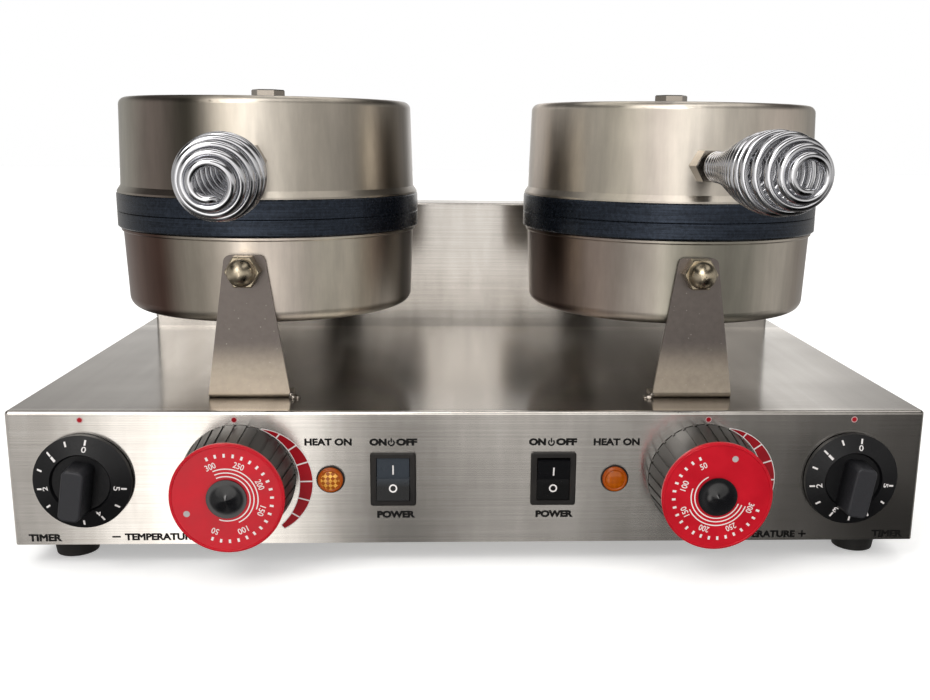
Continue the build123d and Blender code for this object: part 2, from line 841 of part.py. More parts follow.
def coil_meridian(turns):
    # Radius and distance along the handle of the wire's centre, after so many turns.
    if turns < coil_body_turns:
        share = turns / coil_body_turns
        stretch = coil_belly_reach - coil_start - coil_neck_pitch * coil_body_turns
        along = coil_start + coil_neck_pitch * turns + stretch * share**2
        swell = max(0.0, (along - coil_neck_reach) / (coil_belly_reach - coil_neck_reach))
        return coil_neck_radius + (coil_belly_radius - coil_neck_radius) * (1 - cos(pi * swell)) / 2, along
    closing = pi / 2 * (turns - coil_body_turns) / coil_closing_turns
    radius = coil_end_radius + (coil_belly_radius - coil_end_radius) * cos(closing)
    return radius, coil_belly_reach + coil_closing_length * sin(closing)


def coil_point(turns):
    radius, along = coil_meridian(turns)
    # The first turn starts a quarter turn past the root.
    angle = 2 * pi * (turns + coil_first_angle)
    return Vector(radius * cos(angle), radius * sin(angle), along)


def coil_tangent(turns):
    low = max(turns - coil_tangent_step, 0)
    high = min(turns + coil_tangent_step, coil_turns)
    radius, _ = coil_meridian(turns)
    low_radius, low_along = coil_meridian(low)
    high_radius, high_along = coil_meridian(high)
    angle = 2 * pi * (turns + coil_first_angle)
    around = Vector(-sin(angle), cos(angle), 0) * radius * 2 * pi * (high - low)
    outwards = Vector(cos(angle), sin(angle), 0) * (high_radius - low_radius)
    return (around + outwards + Vector(0, 0, high_along - low_along)).normalized()


def arc_middle(start, leave, end):
    # Middle of the arc that leaves start in the given direction and reaches end.
    chord = end - start
    along = chord.normalized()
    lean = leave.dot(along)
    sideways = (leave - along * lean).normalized()
    return start + chord / 2 + sideways * (chord.length / 2) * sqrt((1 - lean) / (1 + lean))


def biarc(start, leave, end, arrive):
    # Two tangent arcs from start to end, each as its three points.
    gap = end - start
    both = leave + arrive
    spread = 2 * (1 - leave.dot(arrive))
    reach = (sqrt(gap.dot(both) ** 2 + spread * gap.dot(gap)) - gap.dot(both)) / spread
    middle = (start + leave * reach + end - arrive * reach) / 2
    first = (start, arc_middle(start, leave, middle), middle)
    second = (middle, arc_middle(end, arrive * -1, middle), end)
    return [first, second]


def coil_arcs():
    # A quarter turn in from the root, then half turns, in the handle's own frame.
    root = Vector(coil_neck_radius, 0, hex_length + wire_diameter)
    arcs = biarc(root, Vector(0, 0, 1), coil_point(0), coil_tangent(0))
    for half in range(int(2 * coil_turns)):
        turns = half / 2
        arcs += biarc(
            coil_point(turns), coil_tangent(turns), coil_point(turns + 0.5), coil_tangent(turns + 0.5)
        )
    return arcs


def least_gap(wire):
    # Smallest space between turns, from points more than a turn's quarter apart along the wire.
    spacing = wire.length / coil_gap_samples
    skip = int(pi * coil_neck_radius / spacing)
    points = [wire.position_at(index / coil_gap_samples) for index in range(coil_gap_samples + 1)]
    places = [(point.X, point.Y, point.Z) for point in points]
    nearest = min(
        (a[0] - b[0]) ** 2 + (a[1] - b[1]) ** 2 + (a[2] - b[2]) ** 2
        for index, a in enumerate(places)
        for b in places[index + skip :]
    )
    return sqrt(nearest) - wire_diameter


# Handles: a hexagon root coped to the lid, and a barrel spring of one wire
for side, sign in sides:
    frame = handle_plane(side, sign)
    with BuildPart() as handle_base:
        with BuildSketch(frame.offset(-hex_root)):
            RegularPolygon(hex_across_flats / 2, 6, major_radius=False)
        extrude(amount=hex_root + hex_length)
        chamfer(handle_base.faces().sort_by(Axis.Y)[0].edges(), length=hex_chamfer)
        with BuildSketch(frame.offset(hex_length)):
            Circle(handle_boss_radius)
        extrude(amount=handle_boss_length)
        with BuildSketch(drum_section(sign)):
            lid_face(0)
        revolve(axis=drum_axis(sign), mode=Mode.SUBTRACT)
    handle_base.part.label = f"handle_base_{side}"
    export_step(handle_base.part, f"parts/handle_base_{side}.step")

    with BuildPart() as handle_spring:
        with BuildLine() as route:
            foot = frame.from_local_coords(Vector(coil_neck_radius, 0, hex_length))
            Line(foot, frame.from_local_coords(Vector(coil_neck_radius, 0, hex_length + wire_diameter)))
            for start, middle, end in coil_arcs():
                ThreePointArc(
                    frame.from_local_coords(start),
                    frame.from_local_coords(middle),
                    frame.from_local_coords(end),
                )
            tip = coil_point(coil_turns)
            Line(
                frame.from_local_coords(tip),
                frame.from_local_coords(tip + coil_tangent(coil_turns) * wire_diameter),
            )
        with BuildSketch(Plane(origin=foot, z_dir=frame.z_dir)):
            Circle(wire_diameter / 2)
        sweep()
    print(f"handle_spring_{side}: {coil_turns} turns, least gap {least_gap(route.wire()):.2f} mm")
    handle_spring.part.label = f"handle_spring_{side}"
    export_step(handle_spring.part, f"parts/handle_spring_{side}.step")


def control_body(x, size, depth):
    # Square works behind the panel, with a bush through it.
    with BuildSketch(panel_plane(x, control_z, panel_back_y)) as case:
        RectangleRounded(size, size, body_corner)
    extrude(case.sketch, amount=-depth)
    disc(panel_plane(x, control_z, panel_back_y), bush_radius, sheet + bush_length)
    disc(panel_plane(x, control_z), shaft_radius + shaft_fit, bush_length, Mode.SUBTRACT)
    disc(panel_plane(x, control_z), shaft_radius + shaft_fit, -(sheet + shaft_root), Mode.SUBTRACT)


def control_shaft(x, reach):
    disc(panel_plane(x, control_z), shaft_radius, reach)
    disc(panel_plane(x, control_z), shaft_radius, -(sheet + shaft_root - shaft_end_gap))


def shaft_sockets(x, reach):
    # Blind bore for the shaft, and a wider recess that clears the bush.
    disc(panel_plane(x, control_z), shaft_radius + shaft_fit, reach + shaft_end_gap, Mode.SUBTRACT)
    disc(panel_plane(x, control_z), bush_recess_radius, bush_recess_depth, Mode.SUBTRACT)


def knob_section(x):
    # Local x runs out from the knob's axis, local y runs out of the panel.
    return Plane(origin=(x, front_y, control_z), x_dir=(1, 0, 0), z_dir=(0, 0, 1))


def knob_axis(x):
    return Axis((x, front_y, control_z), (0, 1, 0))


# Timers, with a skirted dial and a grip bar that points at the set time
for side, sign in sides:
    x = sign * timer_x
    with BuildPart() as timer_body:
        control_body(x, timer_size, timer_depth)
    timer_body.part.label = f"timer_body_{side}"
    export_step(timer_body.part, f"parts/timer_body_{side}.step")

    with BuildPart() as timer_shaft:
        control_shaft(x, timer_shaft_reach)
    timer_shaft.part.label = f"timer_shaft_{side}"
    export_step(timer_shaft.part, f"parts/timer_shaft_{side}.step")

    with BuildPart() as timer_knob:
        with BuildSketch(knob_section(x)):
            with BuildLine():
                Polyline(
                    (0, -knob_gap),
                    (timer_skirt_radius, -knob_gap),
                    (timer_skirt_radius, -knob_gap - timer_rim),
                    (timer_hub_radius, -timer_skirt_height),
                    (timer_hub_radius - timer_recess_slope, timer_recess - timer_skirt_height),
                    (0, timer_recess - timer_skirt_height),
                    close=True,
                )
            make_face()
        revolve(axis=knob_axis(x))
        bar_foot = Plane(
            origin=(x, front_y - knob_gap - timer_rim, control_z),
            x_dir=(cos(radians(timer_rest_angle)), 0, -sin(radians(timer_rest_angle))),
            z_dir=(0, -1, 0),
        )
        with BuildSketch(bar_foot):
            with Locations((0, timer_bar_shift)):
                RectangleRounded(timer_bar_width, timer_bar_length, timer_bar_end)
        extrude(amount=timer_bar_height - knob_gap - timer_rim, taper=timer_bar_taper)
        fillet(timer_knob.faces().sort_by(Axis.Y)[0].edges(), radius=timer_bar_edge)
        shaft_sockets(x, timer_shaft_reach)
    timer_knob.part.label = f"timer_knob_{side}"
    export_step(timer_knob.part, f"parts/timer_knob_{side}.step")


def flute_planes(x):
    # Planes on the barrel's slanting wall, with local y along the flute.
    slope = atan2(barrel_back_radius - barrel_front_radius, barrel_front - knob_gap)
    radius = (barrel_back_radius + barrel_front_radius) / 2
    planes = []
    for flute in range(flute_count):
        angle = 2 * pi * (flute + 0.5) / flute_count
        planes.append(
            Plane(
                origin=(
                    x + radius * cos(angle),
                    front_y - (knob_gap + barrel_front) / 2,
                    control_z + radius * sin(angle),
                ),
                x_dir=(-sin(angle), 0, cos(angle)),
                z_dir=(cos(angle) * cos(slope), -sin(slope), sin(angle) * cos(slope)),
            )
        )
    return planes


# Thermostats: a fluted barrel knob carrying a dial disc and a domed cap
for side, sign in sides:
    x = sign * thermostat_x
    with BuildPart() as thermostat_body:
        control_body(x, thermostat_size, thermostat_depth)
    thermostat_body.part.label = f"thermostat_body_{side}"
    export_step(thermostat_body.part, f"parts/thermostat_body_{side}.step")

    with BuildPart() as thermostat_shaft:
        control_shaft(x, thermostat_shaft_reach)
    thermostat_shaft.part.label = f"thermostat_shaft_{side}"
    export_step(thermostat_shaft.part, f"parts/thermostat_shaft_{side}.step")

    with BuildPart() as thermostat_knob:
        with BuildSketch(knob_section(x)):
            with BuildLine():
                Polyline(
                    (0, -knob_gap),
                    (barrel_back_radius, -knob_gap),
                    (barrel_front_radius, -barrel_front),
                    (0, -barrel_front),
                    close=True,
                )
            make_face()
        revolve(axis=knob_axis(x))
        with BuildSketch(*flute_planes(x)):
            Rectangle(flute_width, 2 * barrel_front)
        extrude(amount=-flute_depth, mode=Mode.SUBTRACT)
        with BuildSketch(panel_plane(x, control_z)):
            Circle(barrel_front_radius - barrel_wall)
            Circle(barrel_hub_radius, mode=Mode.SUBTRACT)
        extrude(amount=barrel_front - barrel_web, mode=Mode.SUBTRACT)
        shaft_sockets(x, thermostat_shaft_reach)
    thermostat_knob.part.label = f"thermostat_knob_{side}"
    export_step(thermostat_knob.part, f"parts/thermostat_knob_{side}.step")

    with BuildPart() as thermostat_dial:
        with BuildSketch(panel_plane(x, control_z, front_y - barrel_front)):
            Circle(dial_radius)
            Circle(dial_bore, mode=Mode.SUBTRACT)
        extrude(amount=dial_thickness)
        front_rims = thermostat_dial.edges().filter_by(GeomType.CIRCLE).group_by(Axis.Y)[0]
        fillet(front_rims.sort_by(SortBy.RADIUS)[-1], radius=dial_edge)
    thermostat_dial.part.label = f"thermostat_dial_{side}"
    export_step(thermostat_dial.part, f"parts/thermostat_dial_{side}.step")

    dial_front = barrel_front + dial_thickness
    with BuildPart() as thermostat_cap:
        with BuildSketch(knob_section(x)):
            with BuildLine():
                SagittaArc(
                    (0, -dial_front - cap_height),
                    (cap_radius, -dial_front - cap_band),
                    cap_bulge,
                )
                Polyline(
                    (cap_radius, -dial_front - cap_band),
                    (cap_radius, -dial_front),
                    (dial_bore - cap_stem_clearance, -dial_front),
                    (dial_bore - cap_stem_clearance, -barrel_front),
                    (0, -barrel_front),
                    (0, -dial_front - cap_height),
                )
            make_face()
        revolve(axis=knob_axis(x))
    thermostat_cap.part.label = f"thermostat_cap_{side}"
    export_step(thermostat_cap.part, f"parts/thermostat_cap_{side}.step")

# Rocker switches: the left one pressed at its top, the right one at its bottom
pivot_y = front_y + rocker_pivot_depth
for side, sign in sides:
    x = sign * switch_x
    with BuildPart() as switch_body:
        with BuildSketch(panel_plane(x, control_z)):
            RectangleRounded(bezel_width, bezel_height, bezel_corner)
        extrude(amount=bezel_thickness)
        fillet(switch_body.faces().sort_by(Axis.Y)[0].edges(), radius=bezel_edge)
        with BuildSketch(panel_plane(x, control_z)):
            Rectangle(switch_body_width, switch_body_height)
        extrude(amount=-switch_body_depth)
        with BuildSketch(panel_plane(x, control_z, front_y - bezel_thickness)):
            Rectangle(rocker_width + 2 * rocker_clearance, rocker_height + 2 * rocker_end_clearance)
        extrude(amount=-rocker_well_depth, mode=Mode.SUBTRACT)
        with BuildSketch(side_section(x)):
            with Locations((pivot_y, control_z)):
                Circle(axle_radius + axle_fit)
        extrude(amount=rocker_width / 2 + axle_length + axle_end_gap, both=True, mode=Mode.SUBTRACT)
    switch_body.part.label = f"switch_body_{side}"
    export_step(switch_body.part, f"parts/switch_body_{side}.step")

    tilt = sign * radians(rocker_slope)
    rocker_plane = Plane(origin=(x, pivot_y, control_z), x_dir=(0, cos(tilt), sin(tilt)), z_dir=(1, 0, 0))
    with BuildPart() as rocker:
        with BuildSketch(rocker_plane):
            with BuildLine():
                Polyline(
                    (-rocker_face, 0),
                    (-rocker_face - rocker_height / 2 * tan(radians(rocker_slope)), rocker_height / 2),
                    (rocker_waist, rocker_waist_height / 2),
                    (rocker_back, rocker_back_height / 2),
                    (rocker_back, -rocker_back_height / 2),
                    (rocker_waist, -rocker_waist_height / 2),
                    (-rocker_face - rocker_height / 2 * tan(radians(rocker_slope)), -rocker_height / 2),
                    close=True,
                )
            make_face()
        extrude(amount=rocker_width / 2, both=True)
        with BuildSketch(rocker_plane):
            Circle(axle_radius)
        extrude(amount=rocker_width / 2 + axle_length, both=True)
    rocker.part.label = f"rocker_{side}"
    export_step(rocker.part, f"parts/rocker_{side}.step")

# Pilot lamps: flanged bodies with a nut behind the panel, and domed lenses
with BuildPart() as lamp_bodies:
    for _, sign in sides:
        with BuildSketch(panel_plane(sign * lamp_x, control_z)):
            Circle(lamp_flange_radius)
        extrude(amount=lamp_flange)
        with BuildSketch(panel_plane(sign * lamp_x, control_z)):
            Circle(lamp_hole_radius - lamp_tube_fit)
        extrude(amount=-lamp_tube_length)
        with BuildSketch(panel_plane(sign * lamp_x, control_z, panel_back_y)):
            Circle(lamp_nut_radius)
        extrude(amount=-lamp_nut_thickness)
lamp_bodies.part.label = "lamp_bodies"
export_step(lamp_bodies.part, "parts/lamp_bodies.step")

for side, sign in sides:
    with BuildPart() as lamp_lens:
        with BuildSketch(panel_plane(sign * lamp_x, control_z, front_y - lamp_flange)):
            Circle(lamp_lens_radius)
        extrude(amount=lamp_lens_height)
        fillet(lamp_lens.faces().sort_by(Axis.Y)[0].edges(), radius=lamp_lens_height - lamp_lens_band)
    lamp_lens.part.label = f"lamp_lens_{side}"
    export_step(lamp_lens.part, f"parts/lamp_lens_{side}.step")
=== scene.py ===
import math

import bmesh
import bpy
from mathutils import Matrix, Vector, noise


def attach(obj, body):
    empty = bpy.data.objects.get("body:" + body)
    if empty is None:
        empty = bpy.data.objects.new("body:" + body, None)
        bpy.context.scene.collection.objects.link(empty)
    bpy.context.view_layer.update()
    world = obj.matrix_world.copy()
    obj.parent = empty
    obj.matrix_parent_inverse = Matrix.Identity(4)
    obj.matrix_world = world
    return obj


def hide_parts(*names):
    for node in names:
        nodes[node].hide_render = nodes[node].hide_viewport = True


print("loading the frame")
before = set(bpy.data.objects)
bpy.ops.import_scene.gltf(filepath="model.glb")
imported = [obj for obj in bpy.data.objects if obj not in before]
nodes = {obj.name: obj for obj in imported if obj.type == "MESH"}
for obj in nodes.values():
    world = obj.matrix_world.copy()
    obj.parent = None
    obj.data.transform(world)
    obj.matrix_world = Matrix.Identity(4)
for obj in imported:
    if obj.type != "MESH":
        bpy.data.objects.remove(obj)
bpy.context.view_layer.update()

mm = 0.001
sides = {"left": -1, "right": 1}

# Places that the pieces share, in millimetres
housing = {
    "frontY": -127.3,
    "backY": 194.7,
    "halfWidth": 255.0,
    "baseTop": 90.0,
    "controlZ": 51.0,
    "drumX": 128.0,
    "drumY": -6.3,
}

# Thickness of a print in millimetres: one that lies under another, one alone and one on top
ink = {"under": 0.04, "alone": 0.06, "over": 0.08}


def linear(hexColour):
    # sRGB hex to the linear values that nodes take
    values = [int(hexColour[i:i + 2], 16) / 255 for i in (1, 3, 5)]
    return [v / 12.92 if v <= 0.04045 else ((v + 0.055) / 1.055) ** 2.4 for v in values] + [1.0]


def addNode(tree, kind, sockets=None, **settings):
    # Adds a node, sets its properties, then sets its inputs or links them; a node given links its first output.
    # Map Range counts 0 value, 1 and 2 from, 3 and 4 to, and a colour Mix 0 share, 6 and 7 colours, 2 result
    node = tree.nodes.new(kind)
    for name, value in settings.items():
        setattr(node, name, value)
    for name, value in (sockets or {}).items():
        if isinstance(value, bpy.types.Node):
            value = value.outputs[0]
        if isinstance(value, bpy.types.NodeSocket):
            tree.links.new(value, node.inputs[name])
        else:
            node.inputs[name].default_value = value
    return node


def newMaterial(name):
    material = bpy.data.materials.new(name)
    material.use_nodes = True
    material.node_tree.nodes.clear()
    return material, material.node_tree


def closeMaterial(material, sockets):
    tree = material.node_tree
    shader = addNode(tree, "ShaderNodeBsdfPrincipled", sockets)
    addNode(tree, "ShaderNodeOutputMaterial", {"Surface": shader})
    return material


def turnShare(tree, direction):
    # 0 to 1 for a direction that is -180 to 180 degrees round: 0 straight in front, 90 to the right
    x, y, _ = addNode(tree, "ShaderNodeSeparateXYZ", {0: direction}).outputs
    ahead = addNode(tree, "ShaderNodeMath", {0: y, 1: -1.0}, operation="MULTIPLY")
    angle = addNode(tree, "ShaderNodeMath", {0: x, 1: ahead}, operation="ARCTAN2")
    return addNode(tree, "ShaderNodeMapRange", {0: angle, 1: -math.pi, 2: math.pi})


def fillRamp(ramp, colours, low, high):
    # Sets a ramp's colours by their places between low and high
    while len(ramp.elements) < len(colours):
        ramp.elements.new(0.5)
    for stop, (place, colour) in zip(ramp.elements, sorted(colours.items())):
        stop.position = (place - low) / (high - low)
        stop.color = colour


def brushed(tree, where, lengths):
    # A pattern of noise drawn out into lines, their size along X, Y and Z in millimetres
    stretched = addNode(
        tree, "ShaderNodeMapping", {"Vector": where, "Scale": [1000 / length for length in lengths]}
    )
    return addNode(
        tree, "ShaderNodeTexNoise", {"Vector": stretched, "Scale": 1.0, "Detail": 4.0, "Roughness": 0.65}
    )


def dress(material, *names):
    # Gives nodes from the frame their finish
    for name in names:
        nodes[name].data.materials.clear()
        nodes[name].data.materials.append(material)


def finishPiece(bm, name, body, material, smoothAngle=35, hides=()):
    # Turns a bmesh into a piece that rides on a body
    bmesh.ops.recalc_face_normals(bm, faces=bm.faces)
    mesh = bpy.data.meshes.new(name)
    bm.to_mesh(mesh)
    bm.free()
    for face in mesh.polygons:
        face.use_smooth = True
    mesh.materials.append(material)
    mesh.set_sharp_from_angle(angle=math.radians(smoothAngle))
    piece = bpy.data.objects.new(name, mesh)
    bpy.context.scene.collection.objects.link(piece)
    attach(piece, body)
    for hidden in hides:
        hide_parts(hidden)


def lathe(bm, profile, steps):
    # Spins (radius, height) points, in millimetres, about the local Z axis, and gives back what it made
    corners = [bm.verts.new((r * mm, 0, z * mm)) for r, z in profile]
    edges = [bm.edges.new(pair) for pair in zip(corners, corners[1:])]
    spun = bmesh.ops.spin(
        bm, geom=corners + edges, cent=(0, 0, 0), axis=(0, 0, 1), angle=math.tau, steps=steps, use_merge=True,
    )
    made = {vert for edge in spun["geom_last"] if isinstance(edge, bmesh.types.BMEdge) for vert in edge.verts}
    reached = set(corners) | made
    todo = list(reached)
    while todo:
        for edge in todo.pop().link_edges:
            for vert in edge.verts:
                if vert not in reached:
                    reached.add(vert)
                    todo.append(vert)
    bmesh.ops.remove_doubles(bm, verts=list(reached), dist=0.001 * mm)
    return [vert for vert in reached if vert.is_valid]


def arcPoints(centreR, centreZ, radius, start, end, count=6):
    # Points of a rounding in a lathe profile, its angles in degrees from outwards to up
    angles = [math.radians(start + (end - start) * k / count) for k in range(count + 1)]
    return [(centreR + radius * math.cos(a), centreZ + radius * math.sin(a)) for a in angles]


def onPanel(x, z=0.0, out=0.0):
    # Local X to the right, Y up and Z out of the control panel; z counts from the controls' row
    place = Vector((x, housing["frontY"] - out, housing["controlZ"] + z)) * mm
    return Matrix.Translation(place) @ Matrix.Rotation(math.radians(90), 4, "X")


def onDial(x, out, clockwise, radius, slope=0.0):
    # A place on a dial: local Y points away from its axis and Z off its face
    turn = Matrix.Rotation(math.radians(-clockwise), 4, "Z")
    lean = Matrix.Rotation(math.radians(-slope), 4, "X")
    return onPanel(x, 0, out) @ turn @ Matrix.Translation((0, radius * mm, 0)) @ lean


def thicken(bm, place, verts, thickness):
    # Gives a printed patch its body, so that it stands a hair off what carries it
    faces = list({face for vert in verts for face in vert.link_faces})
    raised = bmesh.ops.extrude_face_region(bm, geom=faces)
    lift = place.to_3x3() @ Vector((0, 0, thickness * mm))
    bmesh.ops.translate(
        bm, vec=lift, verts=[item for item in raised["geom"] if isinstance(item, bmesh.types.BMVert)]
    )


def addPatch(bm, place, spot, columns=1, thickness=ink["alone"]):
    # Prints a patch: spot gives x and y in millimetres for u and v from 0 to 1
    grid = bmesh.ops.create_grid(bm, x_segments=columns, y_segments=1, size=0.5)
    for vert in grid["verts"]:
        x, y = spot(vert.co.x + 0.5, vert.co.y + 0.5)
        vert.co = place @ Vector((x * mm, y * mm, 0))
    thicken(bm, place, grid["verts"], thickness)


def addBar(bm, place, width, height, thickness=ink["alone"]):
    addPatch(bm, place, lambda u, v: ((u - 0.5) * width, (v - 0.5) * height), thickness=thickness)


def addArc(bm, place, inner, outer, start, end):
    # Prints part of a ring, its angles in degrees clockwise from the top, in columns of about 4 degrees
    def spot(u, v):
        angle = math.radians(start + (end - start) * u)
        radius = inner + (outer - inner) * v
        return radius * math.sin(angle), radius * math.cos(angle)
    addPatch(bm, place, spot, columns=max(2, int(abs(end - start) / 4)))


def addDot(bm, place, radius, thickness=ink["alone"]):
    circle = bmesh.ops.create_circle(bm, cap_ends=True, segments=32, radius=radius * mm, matrix=place)
    thicken(bm, place, circle["verts"], thickness)


def addWords(bm, place, words, width, height, weight):
    # Sets words in the built-in typeface, thickened by weight and fitted to a width and a height in millimetres
    curve = bpy.data.curves.new("words", "FONT")
    curve.body = words
    curve.bevel_depth = weight
    curve.bevel_resolution = 0
    curve.extrude = 0.5
    curve.resolution_u = 4
    holder = bpy.data.objects.new("words", curve)
    bpy.context.scene.collection.objects.link(holder)
    bpy.context.view_layer.update()
    mesh = bpy.data.meshes.new_from_object(holder.evaluated_get(bpy.context.evaluated_depsgraph_get()))
    low = Vector([min(vert.co[axis] for vert in mesh.vertices) for axis in range(3)])
    high = Vector([max(vert.co[axis] for vert in mesh.vertices) for axis in range(3)])
    reach = high - low
    fit = Matrix.Diagonal((width * mm / reach.x, height * mm / reach.y, ink["alone"] * mm / reach.z, 1))
    mesh.transform(place @ fit @ Matrix.Translation((-(low.x + high.x) / 2, -(low.y + high.y) / 2, -low.z)))
    bm.from_mesh(mesh)
    bpy.data.objects.remove(holder)
    bpy.data.curves.remove(curve)
    bpy.data.meshes.remove(mesh)


# Patterns: a noise's Scale is 1000 over the size of its blotches in millimetres, and its values lie mostly
# between 0.3 and 0.7, which Map Range stretches over what it drives

def brushedSheet():
    # 304 sheet with a long brushing along X: satin, reflections drawn out across the lines
    material, tree = newMaterial("brushedSheet")
    where = addNode(tree, "ShaderNodeTexCoord").outputs["Object"]
    # Real lines are about 0.1 mm apart, drawn at 0.5 mm so that they show
    lines = brushed(tree, where, (120, 0.5, 0.5))
    # Soft upright stripes about 34 mm across: a painted reflection, light and dark, like the one the brushing
    # draws out
    bands = brushed(tree, where, (34, 900, 160))
    smudges = addNode(tree, "ShaderNodeTexNoise", {"Vector": where, "Scale": 1000 / 60, "Detail": 1.0})
    fine = addNode(tree, "ShaderNodeMapRange", {0: lines, 1: 0.3, 2: 0.7, 4: 0.4})
    broad = addNode(tree, "ShaderNodeMapRange", {0: bands, 1: 0.3, 2: 0.7, 4: 0.6})
    tone = addNode(tree, "ShaderNodeMath", {0: fine, 1: broad}, operation="ADD")
    metal = addNode(
        tree, "ShaderNodeMix", {0: tone, 6: linear("#bbb6b0"), 7: linear("#eae6e1")}, data_type="RGBA",
    ).outputs[2]
    # Painted light and shade: the panel darkens to the right, the top lightens in its middle and darkens to
    # both sides, and all from the tower back darkens, as the light falls off in the room.
    # What each change follows, from and to in millimetres, and its value at both ends
    x, y, _ = addNode(tree, "ShaderNodeSeparateXYZ", {0: where}).outputs
    aside = addNode(tree, "ShaderNodeMath", {0: x}, operation="ABSOLUTE")
    changes = {
        "onFront": (y, -126.8, -126.2, 1, 0),
        "behindEdge": (y, -126.2, -120, 0, 1),
        "beforeTower": (y, 100, 120, 1, 0),
        "onTower": (y, 120, 125, 0, 0.32),
        "toSides": (aside, 60, 110, -0.2, 0.4),
        "toRight": (x, 100, 255, 0, 0.5),
    }
    share = {
        name: addNode(tree, "ShaderNodeMapRange", {0: along, 1: start * mm, 2: end * mm, 3: first, 4: last})
        for name, (along, start, end, first, last) in changes.items()
    }
    onTop = addNode(
        tree, "ShaderNodeMath", {0: share["behindEdge"], 1: share["beforeTower"]}, operation="MULTIPLY",
    )
    front = addNode(tree, "ShaderNodeMath", {0: share["onFront"], 1: share["toRight"]}, operation="MULTIPLY")
    flat = addNode(
        tree, "ShaderNodeMath", {0: onTop, 1: share["toSides"], 2: front}, operation="MULTIPLY_ADD",
    )
    dimmed = addNode(tree, "ShaderNodeMath", {0: flat, 1: share["onTower"]}, operation="ADD")
    level = addNode(tree, "ShaderNodeMapRange", {0: dimmed, 1: -0.2, 2: 1, 3: 1.2, 4: 0})
    return closeMaterial(material, {
        "Base Color": addNode(tree, "ShaderNodeVectorMath", {0: metal, "Scale": level}, operation="SCALE"),
        "Metallic": 1.0,
        "Roughness": addNode(tree, "ShaderNodeMapRange", {0: smudges, 1: 0.3, 2: 0.7, 3: 0.15, 4: 0.2}),
        "Anisotropic": 0.85,
        "Tangent": addNode(tree, "ShaderNodeCombineXYZ", {"Y": 0.15, "Z": 1.0}),
        "Normal": addNode(tree, "ShaderNodeBump", {"Height": lines, "Strength": 0.04, "Distance": 0.1 * mm}),
    })


# Steel covers: the plain steel, where the crown ends and the wall is reached, in millimetres from the axis,
# and the wall's painted reflections and shade, as colours by degrees round it from the front; past 115 degrees
# it is plain
covers = {
    "plain": "#a8a096",
    "crown": (79, 87),
    "plainFrom": 115,
    "lid": {
        "left": {
            -60: "#b8b4a8", -36: "#948880", -20: "#504c44", -6: "#b8b0a4", 8: "#e4dcd0",
            28: "#c8c0b4", 48: "#b8b0a4", 70: "#8a8278", 84: "#5c5650",
        },
        "right": {
            -88: "#8c847a", -75: "#f8ece0", -52: "#e8e0d4", -32: "#e0d8c8", -16: "#aca49c",
            -2: "#f0e8dc", 14: "#e0d8cc", 34: "#e4d8cc", 52: "#c4bcb0",
        },
    },
    "pan": {
        "left": {
            -60: "#6c5449", -36: "#5a443c", -20: "#aca498", 14: "#f8ece0",
            30: "#ece4d4", 46: "#e0d8c8", 60: "#e8e0d4", 72: "#5c544c",
        },
        "right": {
            -76: "#78665e", -58: "#6e5d55", -40: "#b2a298", -22: "#a49c94",
            -6: "#a09c90", 16: "#b0aca0", 36: "#d4ccc0", 54: "#9c9084",
        },
    },
}


def spunCover(name, side, tints):
    # Drawn 304 cover, satin-finished round its axis: broad upright highlights, and painted reflections and
    # shade round its wall
    material, tree = newMaterial(name)
    where = addNode(tree, "ShaderNodeTexCoord").outputs["Object"]
    axis = (sides[side] * housing["drumX"] * mm, housing["drumY"] * mm, 0)
    away = addNode(tree, "ShaderNodeVectorMath", {0: where, 1: axis}, operation="SUBTRACT")
    # Painted reflections and shade: light and dark colours set round the wall by degrees from the front
    ramp = addNode(tree, "ShaderNodeValToRGB", {0: turnShare(tree, away)})
    plain = {degrees: covers["plain"] for degrees in (-180, -covers["plainFrom"], covers["plainFrom"], 180)}
    colours = {degrees: linear(colour) for degrees, colour in (tints | plain).items()}
    fillRamp(ramp.color_ramp, colours, -180, 180)
    ramp.color_ramp.interpolation = "EASE"
    lines = brushed(tree, where, (60, 60, 0.5))
    rubs = brushed(tree, where, (9, 9, 60))
    stains = addNode(
        tree, "ShaderNodeTexNoise", {"Vector": where, "Scale": 1000 / 45, "Detail": 4.0, "Roughness": 0.55}
    )
    stained = addNode(tree, "ShaderNodeMapRange", {0: stains, 1: 0.3, 2: 0.7, 3: 0.82, 4: 1.0})
    rubbed = addNode(tree, "ShaderNodeMapRange", {0: rubs, 1: 0.3, 2: 0.7, 3: 0.88, 4: 1.1})
    tone = addNode(tree, "ShaderNodeMath", {0: stained, 1: rubbed}, operation="MULTIPLY")
    flat = addNode(tree, "ShaderNodeVectorMath", {0: away, 1: (1, 1, 0)}, operation="MULTIPLY")
    radius = addNode(tree, "ShaderNodeVectorMath", {0: flat}, operation="LENGTH").outputs["Value"]
    inner, outer = covers["crown"]
    onWall = addNode(tree, "ShaderNodeMapRange", {0: radius, 1: inner * mm, 2: outer * mm})
    tint = addNode(
        tree, "ShaderNodeMix", {0: onWall, 6: linear(covers["plain"]), 7: ramp}, data_type="RGBA",
    ).outputs[2]
    # Across the lines: upwards on the wall and away from the axis on the crown
    raised = addNode(tree, "ShaderNodeVectorMath", {0: flat, 1: (0, 0, 0.1)}, operation="ADD")
    return closeMaterial(material, {
        "Base Color": addNode(tree, "ShaderNodeVectorMath", {0: tint, "Scale": tone}, operation="SCALE"),
        "Metallic": 1.0,
        "Roughness": addNode(tree, "ShaderNodeMapRange", {0: stains, 1: 0.3, 2: 0.7, 3: 0.3, 4: 0.38}),
        "Anisotropic": 0.7,
        "Tangent": addNode(
            tree, "ShaderNodeVectorTransform", {"Vector": raised},
            vector_type="VECTOR", convert_from="OBJECT", convert_to="WORLD",
        ),
        "Normal": addNode(tree, "ShaderNodeBump", {"Height": lines, "Strength": 0.05, "Distance": 0.1 * mm}),
    })


